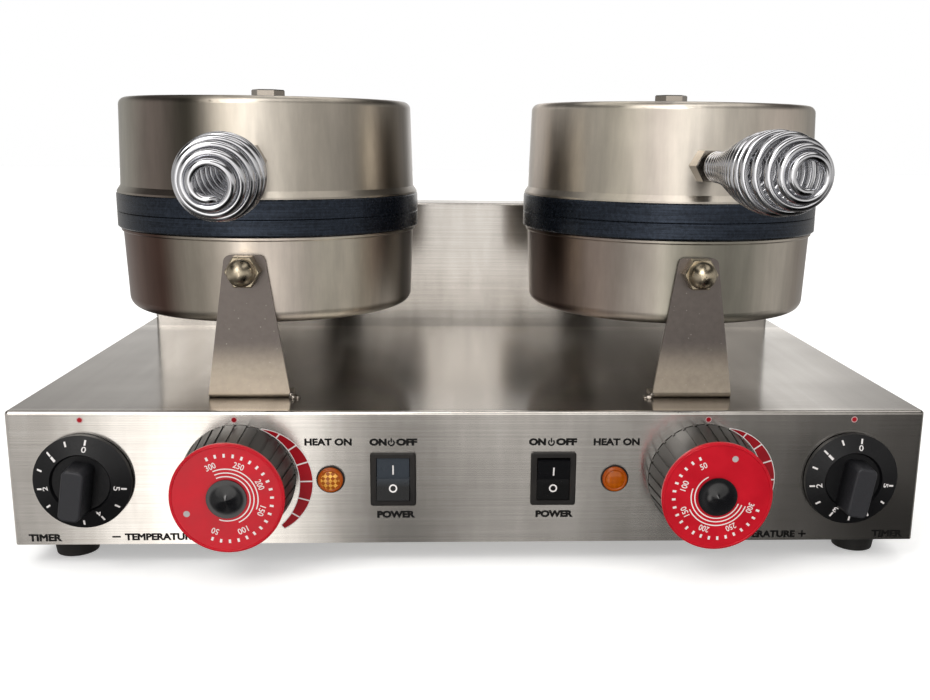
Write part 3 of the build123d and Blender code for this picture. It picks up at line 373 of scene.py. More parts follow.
def coatedCasting(name, dark, light, metal, rough, grit):
    # Coated cast iron: near black; on the rims, a bluish sheen from the machining under it
    material, tree = newMaterial(name)
    where = addNode(tree, "ShaderNodeTexCoord").outputs["Object"]
    lines = brushed(tree, where, (40, 40, 0.5))
    pores = addNode(
        tree, "ShaderNodeTexNoise", {"Vector": where, "Scale": 1000 / grit, "Detail": 3.0, "Roughness": 0.6}
    )
    machined = addNode(tree, "ShaderNodeMapRange", {0: lines, 1: 0.3, 2: 0.7, 4: 0.6})
    pitted = addNode(tree, "ShaderNodeMapRange", {0: pores, 1: 0.3, 2: 0.7, 4: 0.4})
    tone = addNode(tree, "ShaderNodeMath", {0: machined, 1: pitted}, operation="ADD")
    return closeMaterial(material, {
        "Base Color": addNode(
            tree, "ShaderNodeMix", {0: tone, 6: linear(dark), 7: linear(light)}, data_type="RGBA",
        ).outputs[2],
        "Metallic": metal,
        "Roughness": addNode(
            tree, "ShaderNodeMapRange", {0: pores, 1: 0.3, 2: 0.7, 3: rough * 0.9, 4: rough * 1.15}
        ),
        "Normal": addNode(tree, "ShaderNodeBump", {"Height": pores, "Strength": 0.2, "Distance": 0.1 * mm}),
    })


def pickledSheet():
    # Leg plate: rolled and pickled sheet, speckled; a painted reflection darkens it above and lightens it from
    # 125 mm down to 104
    material, tree = newMaterial("pickledSheet")
    where = addNode(tree, "ShaderNodeTexCoord").outputs["Object"]
    height = addNode(tree, "ShaderNodeSeparateXYZ", {0: where}).outputs["Z"]
    # Painted reflection: darker above, lighter lower down
    worn = addNode(
        tree, "ShaderNodeMapRange", {0: height, 1: 125 * mm, 2: 104 * mm}, interpolation_type="SMOOTHSTEP"
    )
    ground = addNode(
        tree, "ShaderNodeMix", {0: worn, 6: linear("#6f6864"), 7: linear("#b0a597")}, data_type="RGBA",
    ).outputs[2]
    mottle = addNode(
        tree, "ShaderNodeTexNoise", {"Vector": where, "Scale": 1000 / 4, "Detail": 4.0, "Roughness": 0.6}
    )
    pits = addNode(tree, "ShaderNodeTexNoise", {"Vector": where, "Scale": 1000 / 0.6, "Detail": 3.0})
    drops = addNode(tree, "ShaderNodeTexVoronoi", {"Vector": where, "Scale": 1000 / 4}).outputs["Distance"]
    specks = addNode(tree, "ShaderNodeMapRange", {0: drops, 1: 0.05, 2: 0.1, 3: 0.4, 4: 0.0})
    tone = addNode(tree, "ShaderNodeMapRange", {0: mottle, 1: 0.3, 2: 0.7, 3: 0.88, 4: 1.06})
    shade = addNode(tree, "ShaderNodeVectorMath", {0: ground, "Scale": tone}, operation="SCALE")
    return closeMaterial(material, {
        "Base Color": addNode(
            tree, "ShaderNodeMix", {0: specks, 6: shade, 7: linear("#d8d2ca")}, data_type="RGBA",
        ).outputs[2],
        "Metallic": 0.95,
        "Roughness": addNode(tree, "ShaderNodeMapRange", {0: mottle, 1: 0.3, 2: 0.7, 3: 0.34, 4: 0.42}),
        "Normal": addNode(tree, "ShaderNodeBump", {"Height": pits, "Strength": 0.08, "Distance": 0.1 * mm}),
    })


def plating(name, light, dark, gloss):
    # Electroplated metal: mirror-like, with slight wavering of its gloss over about 6 mm
    material, tree = newMaterial(name)
    where = addNode(tree, "ShaderNodeTexCoord").outputs["Object"]
    waver = addNode(tree, "ShaderNodeTexNoise", {"Vector": where, "Scale": 1000 / 6, "Detail": 3.0})
    return closeMaterial(material, {
        "Base Color": addNode(
            tree, "ShaderNodeMix", {0: waver, 6: linear(dark), 7: linear(light)}, data_type="RGBA",
        ).outputs[2],
        "Metallic": 1.0,
        "Roughness": addNode(
            tree, "ShaderNodeMapRange", {0: waver, 1: 0.3, 2: 0.7, 3: gloss * 0.7, 4: gloss * 1.3}
        ),
    })


def grippedPlastic(name, skirt, bar):
    # Moulded phenolic dial: the bar, from 135 to 148 mm in front, is coloured lighter than the skirt behind it
    material, tree = newMaterial(name)
    where = addNode(tree, "ShaderNodeTexCoord").outputs["Object"]
    depth = addNode(tree, "ShaderNodeSeparateXYZ", {0: where}).outputs["Y"]
    rubbed = addNode(tree, "ShaderNodeMapRange", {0: depth, 1: -135 * mm, 2: -148 * mm})
    grain = addNode(
        tree, "ShaderNodeTexNoise", {"Vector": where, "Scale": 1000 / 1.2, "Detail": 3.0, "Roughness": 0.6}
    )
    return closeMaterial(material, {
        "Base Color": addNode(
            tree, "ShaderNodeMix", {0: rubbed, 6: linear(skirt), 7: linear(bar)}, data_type="RGBA",
        ).outputs[2],
        "Roughness": addNode(tree, "ShaderNodeMapRange", {0: grain, 1: 0.3, 2: 0.7, 3: 0.34, 4: 0.5}),
        "Normal": addNode(tree, "ShaderNodeBump", {"Height": grain, "Strength": 0.5, "Distance": 0.15 * mm}),
        "Specular IOR Level": 0.25,
    })


def rockerPlastic(name, upper, lower):
    # Moulded nylon rocker: its upper half catches the light, its lower half lies in the bezel's shade
    material, tree = newMaterial(name)
    where = addNode(tree, "ShaderNodeTexCoord").outputs["Object"]
    height = addNode(tree, "ShaderNodeSeparateXYZ", {0: where}).outputs["Z"]
    lit = addNode(tree, "ShaderNodeMapRange", {0: height, 1: 47 * mm, 2: 53 * mm})
    cloud = addNode(tree, "ShaderNodeTexNoise", {"Vector": where, "Scale": 1000 / 16, "Detail": 3.0})
    grain = addNode(tree, "ShaderNodeTexNoise", {"Vector": where, "Scale": 1000 / 1.1, "Detail": 2.0})
    return closeMaterial(material, {
        "Base Color": addNode(
            tree, "ShaderNodeMix", {0: lit, 6: linear(lower), 7: linear(upper)}, data_type="RGBA",
        ).outputs[2],
        "Roughness": addNode(tree, "ShaderNodeMapRange", {0: cloud, 1: 0.3, 2: 0.7, 3: 0.24, 4: 0.32}),
        "Normal": addNode(tree, "ShaderNodeBump", {"Height": grain, "Strength": 0.08, "Distance": 0.1 * mm}),
        "Specular IOR Level": 0.22,
    })


def facetedLens(name, light, dark, relief):
    # Moulded amber acrylic with a lattice of diamonds inside, 1.9 mm across: alternate diamonds are coloured
    # lighter, a painted glint, and the lens glows faintly
    material, tree = newMaterial(name)
    where = addNode(tree, "ShaderNodeTexCoord").outputs["Object"]
    lattice = addNode(tree, "ShaderNodeMapping", {
        "Vector": where, "Rotation": (0, math.radians(45), 0), "Scale": (1000 / 1.9, 0, 1000 / 1.9),
    })
    diamonds = addNode(tree, "ShaderNodeTexChecker", {"Vector": lattice, "Scale": 1.0}).outputs[1]
    cloud = addNode(tree, "ShaderNodeTexNoise", {"Vector": where, "Scale": 1000 / 5, "Detail": 3.0})
    uneven = addNode(tree, "ShaderNodeMapRange", {0: cloud, 1: 0.3, 2: 0.7, 3: 0.25})
    # Painted glints: the light diamonds of the lattice, some brighter than others
    patches = addNode(tree, "ShaderNodeMath", {0: diamonds, 1: uneven}, operation="MULTIPLY")
    return closeMaterial(material, {
        "Base Color": addNode(
            tree, "ShaderNodeMix", {0: patches, 6: linear(dark), 7: linear(light)}, data_type="RGBA",
        ).outputs[2],
        "Roughness": 0.1,
        "Normal": addNode(
            tree, "ShaderNodeBump", {"Height": diamonds, "Strength": relief, "Distance": 0.2 * mm}
        ),
        "Specular IOR Level": 0.3, "Emission Color": linear(light), "Emission Strength": 0.06,
    })


def moulded(name, light, dark, rough, texture=0.15, grit=1.1, shine=0.5):
    # Moulded plastic, enamel or ink: even colour, fine texture in the gloss
    # A lower specular keeps matte mouldings as dark as they are by eye
    material, tree = newMaterial(name)
    where = addNode(tree, "ShaderNodeTexCoord").outputs["Object"]
    cloud = addNode(tree, "ShaderNodeTexNoise", {"Vector": where, "Scale": 1000 / 16, "Detail": 3.0})
    grain = addNode(tree, "ShaderNodeTexNoise", {"Vector": where, "Scale": 1000 / grit, "Detail": 2.0})
    uneven = addNode(tree, "ShaderNodeMapRange", {0: cloud, 1: 0.3, 2: 0.7})
    return closeMaterial(material, {
        "Base Color": addNode(
            tree, "ShaderNodeMix", {0: uneven, 6: linear(dark), 7: linear(light)}, data_type="RGBA",
        ).outputs[2],
        "Roughness": addNode(
            tree, "ShaderNodeMapRange", {0: cloud, 1: 0.3, 2: 0.7, 3: rough * 0.85, 4: rough * 1.15}
        ),
        "Normal": addNode(tree, "ShaderNodeBump", {"Height": grain, "Strength": texture, "Distance": 0.1 * mm}),
        "Specular IOR Level": shine,
    })


print("mixing the materials")
steel = brushedSheet()
ringIron = coatedCasting("blackenedIron", "#0f1115", "#3a424f", 0.85, 0.26, 2.0)
plateIron = coatedCasting("coatedIron", "#1b1b1d", "#2c2c2f", 0.3, 0.45, 0.9)
legSteel = pickledSheet()
nickel = plating("nickelPlate", "#c0b4a0", "#a0957f", 0.3)
boltSteel = plating("zincPlate", "#b0a9a0", "#8d867e", 0.22)
chrome = plating("chromePlate", "#dcdde1", "#c2c3c8", 0.15)
element = plating("heatTintedSteel", "#8d857b", "#6e665e", 0.4)
darkSteel = plating("oxidisedSteel", "#6b6560", "#4b4642", 0.35)
beadSteel = plating("weldedSteel", "#a8a199", "#7c756e", 0.3)
knobPlastic = moulded("wornPhenolic", "#35322f", "#211f1e", 0.4, 0.2, 0.9, 0.4)  # dark grey, a little uneven
timerPlastic = grippedPlastic("satinPhenolic", "#101012", "#2d2d30")
capPlastic = moulded("polishedPhenolic", "#1a1a1c", "#111113", 0.12, 0.05, 0.9)  # sharp small highlights
switchPlastic = moulded("blackNylon", "#211e1c", "#171514", 0.4, shine=0.3)
rockerBlue = rockerPlastic("slateNylon", "#31373e", "#0b0c0e")
rockerBlack = rockerPlastic("jetNylon", "#131315", "#070708")
innerPlastic = moulded("naturalNylon", "#c9c5b8", "#b8b4a6", 0.5)
dialRed = moulded("redEnamel", "#c60c22", "#b40a1e", 0.22, 0.03, 1.5, 0.27)  # baked on, glossy and even
amberLit = facetedLens("facetedAcrylic", "#ffc058", "#8a3a04", 0.5)
amberDull = facetedLens("smoothAcrylic", "#ab5408", "#9c4a06", 0.05)
lensRim = moulded("amberAcrylic", "#a84f0c", "#943f06", 0.1, 0.0, shine=0.3)
rubber = moulded("blackRubber", "#1f1d1b", "#141312", 0.7, 0.3)  # matte, with a coarse skin
whiteInk = moulded("whitePrint", "#ece8e6", "#dcd7d4", 0.5, 0.05)
greyInk = moulded("greyPrint", "#b9b3b2", "#a8a2a1", 0.5, 0.05)
# Black print, and also the cross slot on the screw heads: painted shade
blackInk = moulded("blackPrint", "#121111", "#0c0b0b", 0.45, 0.05, shine=0.15)
redInk = moulded("redPrint", "#a50c1c", "#8c0816", 0.4, 0.05, shine=0.2)
pinkInk = moulded("pinkPrint", "#c9a3a2", "#bd9494", 0.5, 0.05)

dress(steel, "base_shell", "rear_tower", "back_cover", "bottom_plate", "rear_arm_left", "rear_arm_right")
dress(nickel, "leg_studs", "leg_nuts")
dress(boltSteel, "hinge_pins", "pan_bolts")
dress(innerPlastic, "terminal_block")
dress(switchPlastic, "cable_gland", "lamp_bodies")
dress(rubber, "feet")
for side in sides:
    dress(spunCover(f"spunLid_{side}", side, covers["lid"][side]), f"lid_shell_{side}")
    dress(spunCover(f"spunPan_{side}", side, covers["pan"][side]), f"lower_housing_{side}")
    dress(legSteel, f"front_leg_{side}")
    dress(ringIron, f"lower_ring_{side}", f"upper_ring_{side}")
    dress(plateIron, f"lower_grid_{side}", f"upper_grid_{side}")
    dress(element, f"lower_heater_{side}", f"upper_heater_{side}")
    dress(boltSteel, f"thermostat_shaft_{side}", f"timer_shaft_{side}")
    dress(boltSteel, f"lid_bolt_{side}", f"handle_base_{side}")
    dress(innerPlastic, f"thermostat_body_{side}", f"timer_body_{side}")
    dress(chrome, f"handle_spring_{side}")
    dress(timerPlastic, f"timer_knob_{side}")
    dress(capPlastic, f"thermostat_cap_{side}")
    dress(knobPlastic, f"thermostat_knob_{side}")
    dress(dialRed, f"thermostat_dial_{side}")
    dress(switchPlastic, f"switch_body_{side}")
dress(rockerBlue, "rocker_left")
dress(rockerBlack, "rocker_right")
dress(amberLit, "lamp_lens_left")
dress(amberDull, "lamp_lens_right")

print("printing the timer dials")
# White marks on the sloping skirt: 0 to 5 minutes run anticlockwise from 9 degrees past the top
timer = {
    "x": 214.3,
    "rimRadius": 26.5,
    "rimOut": 3.8,
    "slope": 17.7,
    "minutes": 5,
    "zeroAt": 9.0,
    "step": 54.0,
    "tickAt": 23.0,
    "tick": (1.0, 3.0),
    "numeralAt": 19.4,
    "numeral": (2.5, 3.3),
    "oneNarrower": 0.55,
    "weight": 0.01,
}


def onSkirt(x, clockwise, radius):
    out = timer["rimOut"] + (timer["rimRadius"] - radius) * math.tan(math.radians(timer["slope"]))
    return onDial(x, out, clockwise, radius, timer["slope"])


for side, sign in sides.items():
    x = sign * timer["x"]
    marks = bmesh.new()
    for half in range(2 * timer["minutes"] + 1):
        angle = timer["zeroAt"] - half * timer["step"] / 2
        addBar(marks, onSkirt(x, angle, timer["tickAt"]), *timer["tick"])
        if half % 2 == 0:
            minute = half // 2
            width, height = timer["numeral"]
            if minute == 1:
                width *= timer["oneNarrower"]
            addWords(marks, onSkirt(x, angle, timer["numeralAt"]), str(minute), width, height, timer["weight"])
    finishPiece(marks, f"timerMarks_{side}", f"timer_{side}", whiteInk)

print("printing the thermostat dials")
# 50 to 300 degrees runs anticlockwise from the white dot, with four ticks to each 50
thermostat = {
    "x": 130.3,
    "faceOut": 30.6,
    "lowest": 50,
    "highest": 300,
    "dotAt": {"left": 248.5, "right": 21.8},
    "firstAfterDot": 48.0,
    "per50": 44.8,
    "tickEvery": 12.5,
    "tickAt": 23.7,
    "tick": (1.2, 2.0),
    "numeralAt": 19.2,
    "numeral": (5.6, 3.3),
    "twoFigures": 0.68,
    "weight": 0.008,
    "arcs": {12.3: 50, 14.3: 100, 16.4: 150},
    "arcWidth": 0.6,
    "dotRadius": 1.7,
    "dotPlace": 22.7,
}


def dialAngle(side, degrees):
    # Clockwise from the top, for a temperature on a dial
    first = thermostat["dotAt"][side] - thermostat["firstAfterDot"]
    return first - (degrees - thermostat["lowest"]) / 50 * thermostat["per50"]


for side, sign in sides.items():
    x, out = sign * thermostat["x"], thermostat["faceOut"]
    lowest, highest = thermostat["lowest"], thermostat["highest"]
    marks = bmesh.new()
    for tick in range(int((highest - lowest) / thermostat["tickEvery"]) + 1):
        angle = dialAngle(side, lowest + tick * thermostat["tickEvery"])
        addBar(marks, onDial(x, out, angle, thermostat["tickAt"]), *thermostat["tick"])
    for degrees in range(lowest, highest + 1, 50):
        width, height = thermostat["numeral"]
        if degrees < 100:
            width *= thermostat["twoFigures"]
        place = onDial(x, out, dialAngle(side, degrees), thermostat["numeralAt"])
        addWords(marks, place, str(degrees), width, height, thermostat["weight"])
    for radius, degrees in thermostat["arcs"].items():
        half = thermostat["arcWidth"] / 2
        start, end = dialAngle(side, highest), dialAngle(side, degrees)
        addArc(marks, onPanel(x, 0, out), radius - half, radius + half, start, end)
    finishPiece(marks, f"dialMarks_{side}", f"thermostat_{side}", whiteInk)
    dot = bmesh.new()
    addDot(dot, onDial(x, out, thermostat["dotAt"][side], thermostat["dotPlace"]), thermostat["dotRadius"])
    finishPiece(dot, f"dialDot_{side}", f"thermostat_{side}", greyInk)

print("printing the panel")
# Heat wedges round the right of each thermostat knob: a white crescent between two circles, red wedges on it,
# and the white line left round each; its angles in degrees up from the right
crescent = {
    "drop": -2.3,
    "inner": 33.4,
    "outerCentre": (9.8, 0.4),
    "outerRadius": 31.3,
    "top": 67.0,
    "bottom": -48.0,
    "wedges": 7,
    "columns": 12,
    "line": 0.4,
    "narrowest": 0.02,
}
wedgeStep = (crescent["bottom"] - crescent["top"]) / crescent["wedges"]


def addCrescent(bm, x, start, end, inset, thickness):
    # inset draws the patch in on every side
    def spot(u, v):
        angle = math.radians(start + (end - start) * u)
        cx, cy = crescent["outerCentre"]
        along = cx * math.cos(angle) + cy * math.sin(angle)
        outer = along + math.sqrt(along * along - cx * cx - cy * cy + crescent["outerRadius"] ** 2)
        inner = crescent["inner"] + inset
        radius = inner + max(crescent["narrowest"], outer - inset - inner) * v
        angle += (0.5 - u) * 2 * math.copysign(inset, end - start) / radius
        return radius * math.cos(angle), radius * math.sin(angle)
    columns = crescent["columns"] * round((end - start) / wedgeStep)
    addPatch(bm, onPanel(x, crescent["drop"]), spot, columns=columns, thickness=thickness)


whitePrint = bmesh.new()
redPrint = bmesh.new()
for sign in sides.values():
    x = sign * thermostat["x"]
    addCrescent(whitePrint, x, crescent["top"], crescent["bottom"], 0.0, ink["under"])
    for index in range(crescent["wedges"]):
        start = crescent["top"] + wedgeStep * index
        addCrescent(redPrint, x, start, start + wedgeStep, crescent["line"], ink["over"])

# Index dots over the dials, each with a pale halo
indexDots = {"x": (214.5, 131.4), "z": 34.1, "radius": 1.3, "halo": 1.75}
halo = bmesh.new()
for sign in sides.values():
    for across in indexDots["x"]:
        addDot(redPrint, onPanel(sign * across, indexDots["z"]), indexDots["radius"], ink["over"])
        addDot(halo, onPanel(sign * across, indexDots["z"]), indexDots["halo"], ink["under"])

# Plain words: the centres of both, then width, height and how much the letters are thickened
labels = {
    "TIMER": ((-238.0, -33.9), (239.6, -34.3), 18.2, 4.3, 0.05),
    "TEMPERATURE": ((-174.6, -33.7), (165.7, -34.2), 39.8, 4.2, 0.05),
    "HEAT ON": ((-80.5, 21.4), (80.1, 21.2), 26.0, 4.2, 0.05),
    "ON": ((-53.0, 21.3), (35.6, 21.3), 9.6, 4.2, 0.065),
    "OFF": ((-37.2, 21.3), (51.9, 21.3), 11.8, 4.2, 0.065),
    "POWER": ((-43.3, -21.1), (46.0, -21.2), 21.4, 4.2, 0.065),
}
# Minus and plus beside the words, and the power sign: centres, bars, and the ring's radii and angles
signs = {
    "minus": {"at": ((-199.1, -33.6), (143.2, -34.2)), "bar": (4.6, 0.95)},
    "plus": {"at": ((-150.2, -33.7), (189.6, -34.2)), "bar": (4.4, 0.95), "upright": (0.95, 4.2)},
    "power": {
        "at": ((-45.7, 20.9), (43.4, 20.9)), "ring": (1.15, 2.0, 35, 325), "stem": (0.85, 2.4), "up": 1.4,
    },
}
words = bmesh.new()
for text, (left, right, width, height, weight) in labels.items():
    for x, z in (left, right):
        addWords(words, onPanel(x, z), text, width, height, weight)
for x, z in signs["minus"]["at"]:
    addBar(words, onPanel(x, z), *signs["minus"]["bar"])
for x, z in signs["plus"]["at"]:
    addBar(words, onPanel(x, z), *signs["plus"]["bar"])
    addBar(words, onPanel(x, z), *signs["plus"]["upright"])
for x, z in signs["power"]["at"]:
    addArc(words, onPanel(x, z), *signs["power"]["ring"])
    addBar(words, onPanel(x, z + signs["power"]["up"]), *signs["power"]["stem"])
finishPiece(words, "panelWords", "housing", blackInk)
finishPiece(whitePrint, "heatWedgeOutlines", "housing", whiteInk)
finishPiece(halo, "indexHalos", "housing", pinkInk)
finishPiece(redPrint, "heatWedges", "housing", redInk)

print("marking the rockers")
# A line on the upper half and a ring on the lower one, each on its own slope of the rocker's face
rocker = {
    "x": 44.8,
    "pivotIn": 0.6,
    "face": 2.0,
    "slope": 8.0,
    "markUp": 5.2,
    "line": (0.8, 5.4),
    "ring": (1.5, 2.3),
}
for side, sign in sides.items():
    tilt = sign * math.radians(rocker["slope"])
    slope = math.tan(math.radians(rocker["slope"]))
    reach = rocker["markUp"]
    inward = Vector((0, math.cos(tilt), math.sin(tilt)))
    upward = Vector((0, -math.sin(tilt), math.cos(tilt)))
    pivot = Vector((sign * rocker["x"], housing["frontY"] + rocker["pivotIn"], housing["controlZ"]))
    marks = bmesh.new()
    for half in (1, -1):
        spot = pivot - inward * (rocker["face"] + reach * slope) + upward * reach * half
        along = (upward - inward * slope * half).normalized()
        off = Vector((1, 0, 0)).cross(along)
        place = Matrix.Translation(spot * mm) @ Matrix((Vector((1, 0, 0)), along, off)).transposed().to_4x4()
        if half > 0:
            addBar(marks, place, *rocker["line"])
        else:
            addArc(marks, place, *rocker["ring"], 0, 180)
            addArc(marks, place, *rocker["ring"], 180, 360)
    finishPiece(marks, f"rockerMarks_{side}", f"switch_{side}", whiteInk)

print("turning the lamp lenses")
# A smooth rounded rim round a shallow dome, which starts a little below the rim's top
lamp = {
    "x": 79.5,
    "flange": 1.0,
    "radius": 7.0,
    "band": 1.5,
    "rimRound": 1.1,
    "underDome": 0.9,
    "dome": 5.9,
    "rise": 1.3,
    "sunk": 0.9,
    "domeAngles": (0.0, 0.3, 0.6, 0.9, 1.2, 1.5708),
    "steps": 72,
}
for side, sign in sides.items():
    place = onPanel(sign * lamp["x"], 0, lamp["flange"])
    collar = bmesh.new()
    profile = [(0.0, 0.0), (lamp["radius"], 0.0)]
    profile += arcPoints(lamp["radius"] - lamp["rimRound"], lamp["band"], lamp["rimRound"], 0, 125)
    profile += [(lamp["dome"] - lamp["underDome"], lamp["band"]), (0.0, lamp["band"])]
    lathe(collar, profile, lamp["steps"])
    bmesh.ops.transform(collar, matrix=place, verts=collar.verts)
    finishPiece(collar, f"lensRim_{side}", "housing", lensRim, 50, [f"lamp_lens_{side}"])
    dome = bmesh.new()
    foot = lamp["band"] + lamp["rimRound"] - lamp["sunk"]
    profile = [(0.0, lamp["band"])]
    profile += [(lamp["dome"] * math.cos(a), foot + lamp["rise"] * math.sin(a)) for a in lamp["domeAngles"]]
    lathe(dome, profile, lamp["steps"])
    bmesh.ops.transform(dome, matrix=place, verts=dome.verts)
    finishPiece(dome, f"lensDome_{side}", "housing", amberLit if side == "left" else amberDull, 50)

print("winding the handles thicker")
# Plated wire as thick as it looks: each spring's surface is set out along its normals
wire = {"thicker": 0.5, "merge": 0.01}
for side in sides:
    spring = nodes[f"handle_spring_{side}"]
    coil = bmesh.new()
    coil.from_mesh(spring.data)
    bmesh.ops.transform(coil, matrix=spring.matrix_world, verts=coil.verts)
    bmesh.ops.remove_doubles(coil, verts=coil.verts, dist=wire["merge"] * mm)
    coil.normal_update()
    for vert in coil.verts:
        vert.co += vert.normal * wire["thicker"] * mm
    finishPiece(coil, f"coil_{side}", f"lid_{side}", chrome, 60, [spring.name])

print("beading the dial rims")
# A raised bead inside the edge of each red dial
bead = {"radius": 29.0, "size": 0.45, "round": 12, "steps": 96}
for side, sign in sides.items():
    ring = bmesh.new()
    lathe(ring, arcPoints(bead["radius"], 0, bead["size"], 0, 360, bead["round"]), bead["steps"])
    place = onPanel(sign * thermostat["x"], 0, thermostat["faceOut"])
    bmesh.ops.transform(ring, matrix=place, verts=ring.verts)
    finishPiece(ring, f"dialBead_{side}", f"thermostat_{side}", dialRed)

print("closing the rims")
# The black rings meet in a hairline: a sliver fills most of the chamfer on each mating edge
rimEdge = {
    "radius": 93.5,
    "chamfer": 0.8,
    "corner": 0.25,
    "clear": 0.02,
    "lowerFace": 191.6,
    "upperFace": 191.8,
    "steps": 128,
}
for side, sign in sides.items():
    for name, body, face, up in (
        ("lower", "housing", rimEdge["lowerFace"], -1), ("upper", f"lid_{side}", rimEdge["upperFace"], 1),
    ):
        sliver = bmesh.new()
        outer, corner, depth, clear = (rimEdge[key] for key in ("radius", "corner", "chamfer", "clear"))
        section = [
            (outer - depth + clear, face), (outer - corner, face), (outer, face + up * corner),
            (outer, face + up * (depth - clear)), (outer - depth, face + up * depth),
            (outer - depth + clear, face),
        ]
        lathe(sliver, section, rimEdge["steps"])
        at = Matrix.Translation(Vector((sign * housing["drumX"], housing["drumY"], 0)) * mm)
        bmesh.ops.transform(sliver, matrix=at, verts=sliver.verts)
        finishPiece(sliver, f"rimEdge_{name}_{side}", body, ringIron)

print("adding screws and welds")
# Tacks at the inner corner of each leg's foot, towards the middle: place inwards, lift and radius of each blob
tack = {
    "behindPanel": 28.2,
    "blobs": ((24.8, 0.8, 2.4), (27.0, 0.6, 1.8), (23.6, 2.2, 1.7)),
    "flatter": 0.7,
    "lumps": 0.3,
    "lumpsPerMetre": 700,
}
tacks = bmesh.new()
for sign in sides.values():
    for inwards, lift, radius in tack["blobs"]:
        y, z = housing["frontY"] + tack["behindPanel"], housing["baseTop"] + lift
        centre = Vector((sign * (housing["drumX"] - inwards), y, z))
        blob = bmesh.ops.create_icosphere(tacks, subdivisions=3, radius=radius * mm)
        for vert in blob["verts"]:
            wave = noise.noise(vert.co * tack["lumpsPerMetre"] + centre)
            flattened = Vector((vert.co.x, vert.co.y, vert.co.z * tack["flatter"]))
            vert.co = centre * mm + flattened * (1 + tack["lumps"] * wave)
finishPiece(tacks, "weldTacks", "housing", beadSteel, 60)

# Pan-head screws in the side walls and round the back cover, each with a cross slot drawn as two black bars,
# painted shade for its recess, and turned its own way
screw = {
    "radius": 3.4,
    "edge": 0.5,
    "rounding": 1.1,
    "height": 1.65,
    "steps": 32,
    "slot": (4.4, 0.8, 0.42),
    "slotFrom": 1.25,
    "turnEach": 0.9,
    "side": ((-112.0, 74.0), (175.0, 74.0), (-112.0, 24.0), (175.0, 24.0)),
    "back": ((-245.0, 178.0), (0.0, 178.0), (245.0, 178.0), (-245.0, 97.0), (0.0, 97.0), (245.0, 97.0)),
}
places = []
for sign in sides.values():
    for y, z in screw["side"]:
        turn = Matrix.Rotation(math.radians(90 * sign), 4, "Y")
        places.append(Matrix.Translation(Vector((sign * housing["halfWidth"], y, z)) * mm) @ turn)
for x, z in screw["back"]:
    turn = Matrix.Rotation(math.radians(-90), 4, "X")
    places.append(Matrix.Translation(Vector((x, housing["backY"], z)) * mm) @ turn)
headProfile = [(screw["radius"], 0.0), (screw["radius"], screw["edge"])]
headProfile += arcPoints(screw["radius"] - screw["rounding"], screw["edge"], screw["rounding"], 0, 90)
headProfile += [(0.0, screw["height"])]
heads = bmesh.new()
slots = bmesh.new()
for index, place in enumerate(places):
    bmesh.ops.transform(heads, matrix=place, verts=lathe(heads, headProfile, screw["steps"]))
    turned = place @ Matrix.Rotation(index * screw["turnEach"], 4, "Z")
    turned = turned @ Matrix.Translation((0, 0, screw["slotFrom"] * mm))
    # Painted shade: two black bars on the head stand for the cross slot's recess
    for angle in (0, 90):
        addBar(slots, turned @ Matrix.Rotation(math.radians(angle), 4, "Z"), *screw["slot"])
finishPiece(heads, "screwHeads", "housing", darkSteel, 40)
finishPiece(slots, "screwSlots", "housing", blackInk)

print("setting the stage")
# Pale floor, just under the feet, a little brighter to the eye than what it lights; sizes in metres
ground = {"halfSize": 6, "under": 0.0005, "colour": "#f4f3f1", "brighter": 0.36}
floorMesh = bmesh.new()
bmesh.ops.create_grid(floorMesh, x_segments=1, y_segments=1, size=ground["halfSize"])
bmesh.ops.translate(floorMesh, vec=(0, 0, -ground["under"]), verts=floorMesh.verts)
floorData = bpy.data.meshes.new("floor")
floorMesh.to_mesh(floorData)
floorMesh.free()
floor = bpy.data.objects.new("floor", floorData)
bpy.context.scene.collection.objects.link(floor)
floorPaint, floorTree = newMaterial("paleFloor")
seenDirectly = addNode(floorTree, "ShaderNodeLightPath").outputs["Is Camera Ray"]
closeMaterial(floorPaint, {
    "Base Color": linear(ground["colour"]), "Roughness": 0.8, "Emission Color": (1, 1, 1, 1),
    "Emission Strength": addNode(
        floorTree, "ShaderNodeMath", {0: seenDirectly, 1: ground["brighter"]}, operation="MULTIPLY",
    ),
})
floorData.materials.append(floorPaint)
floor.visible_glossy = False

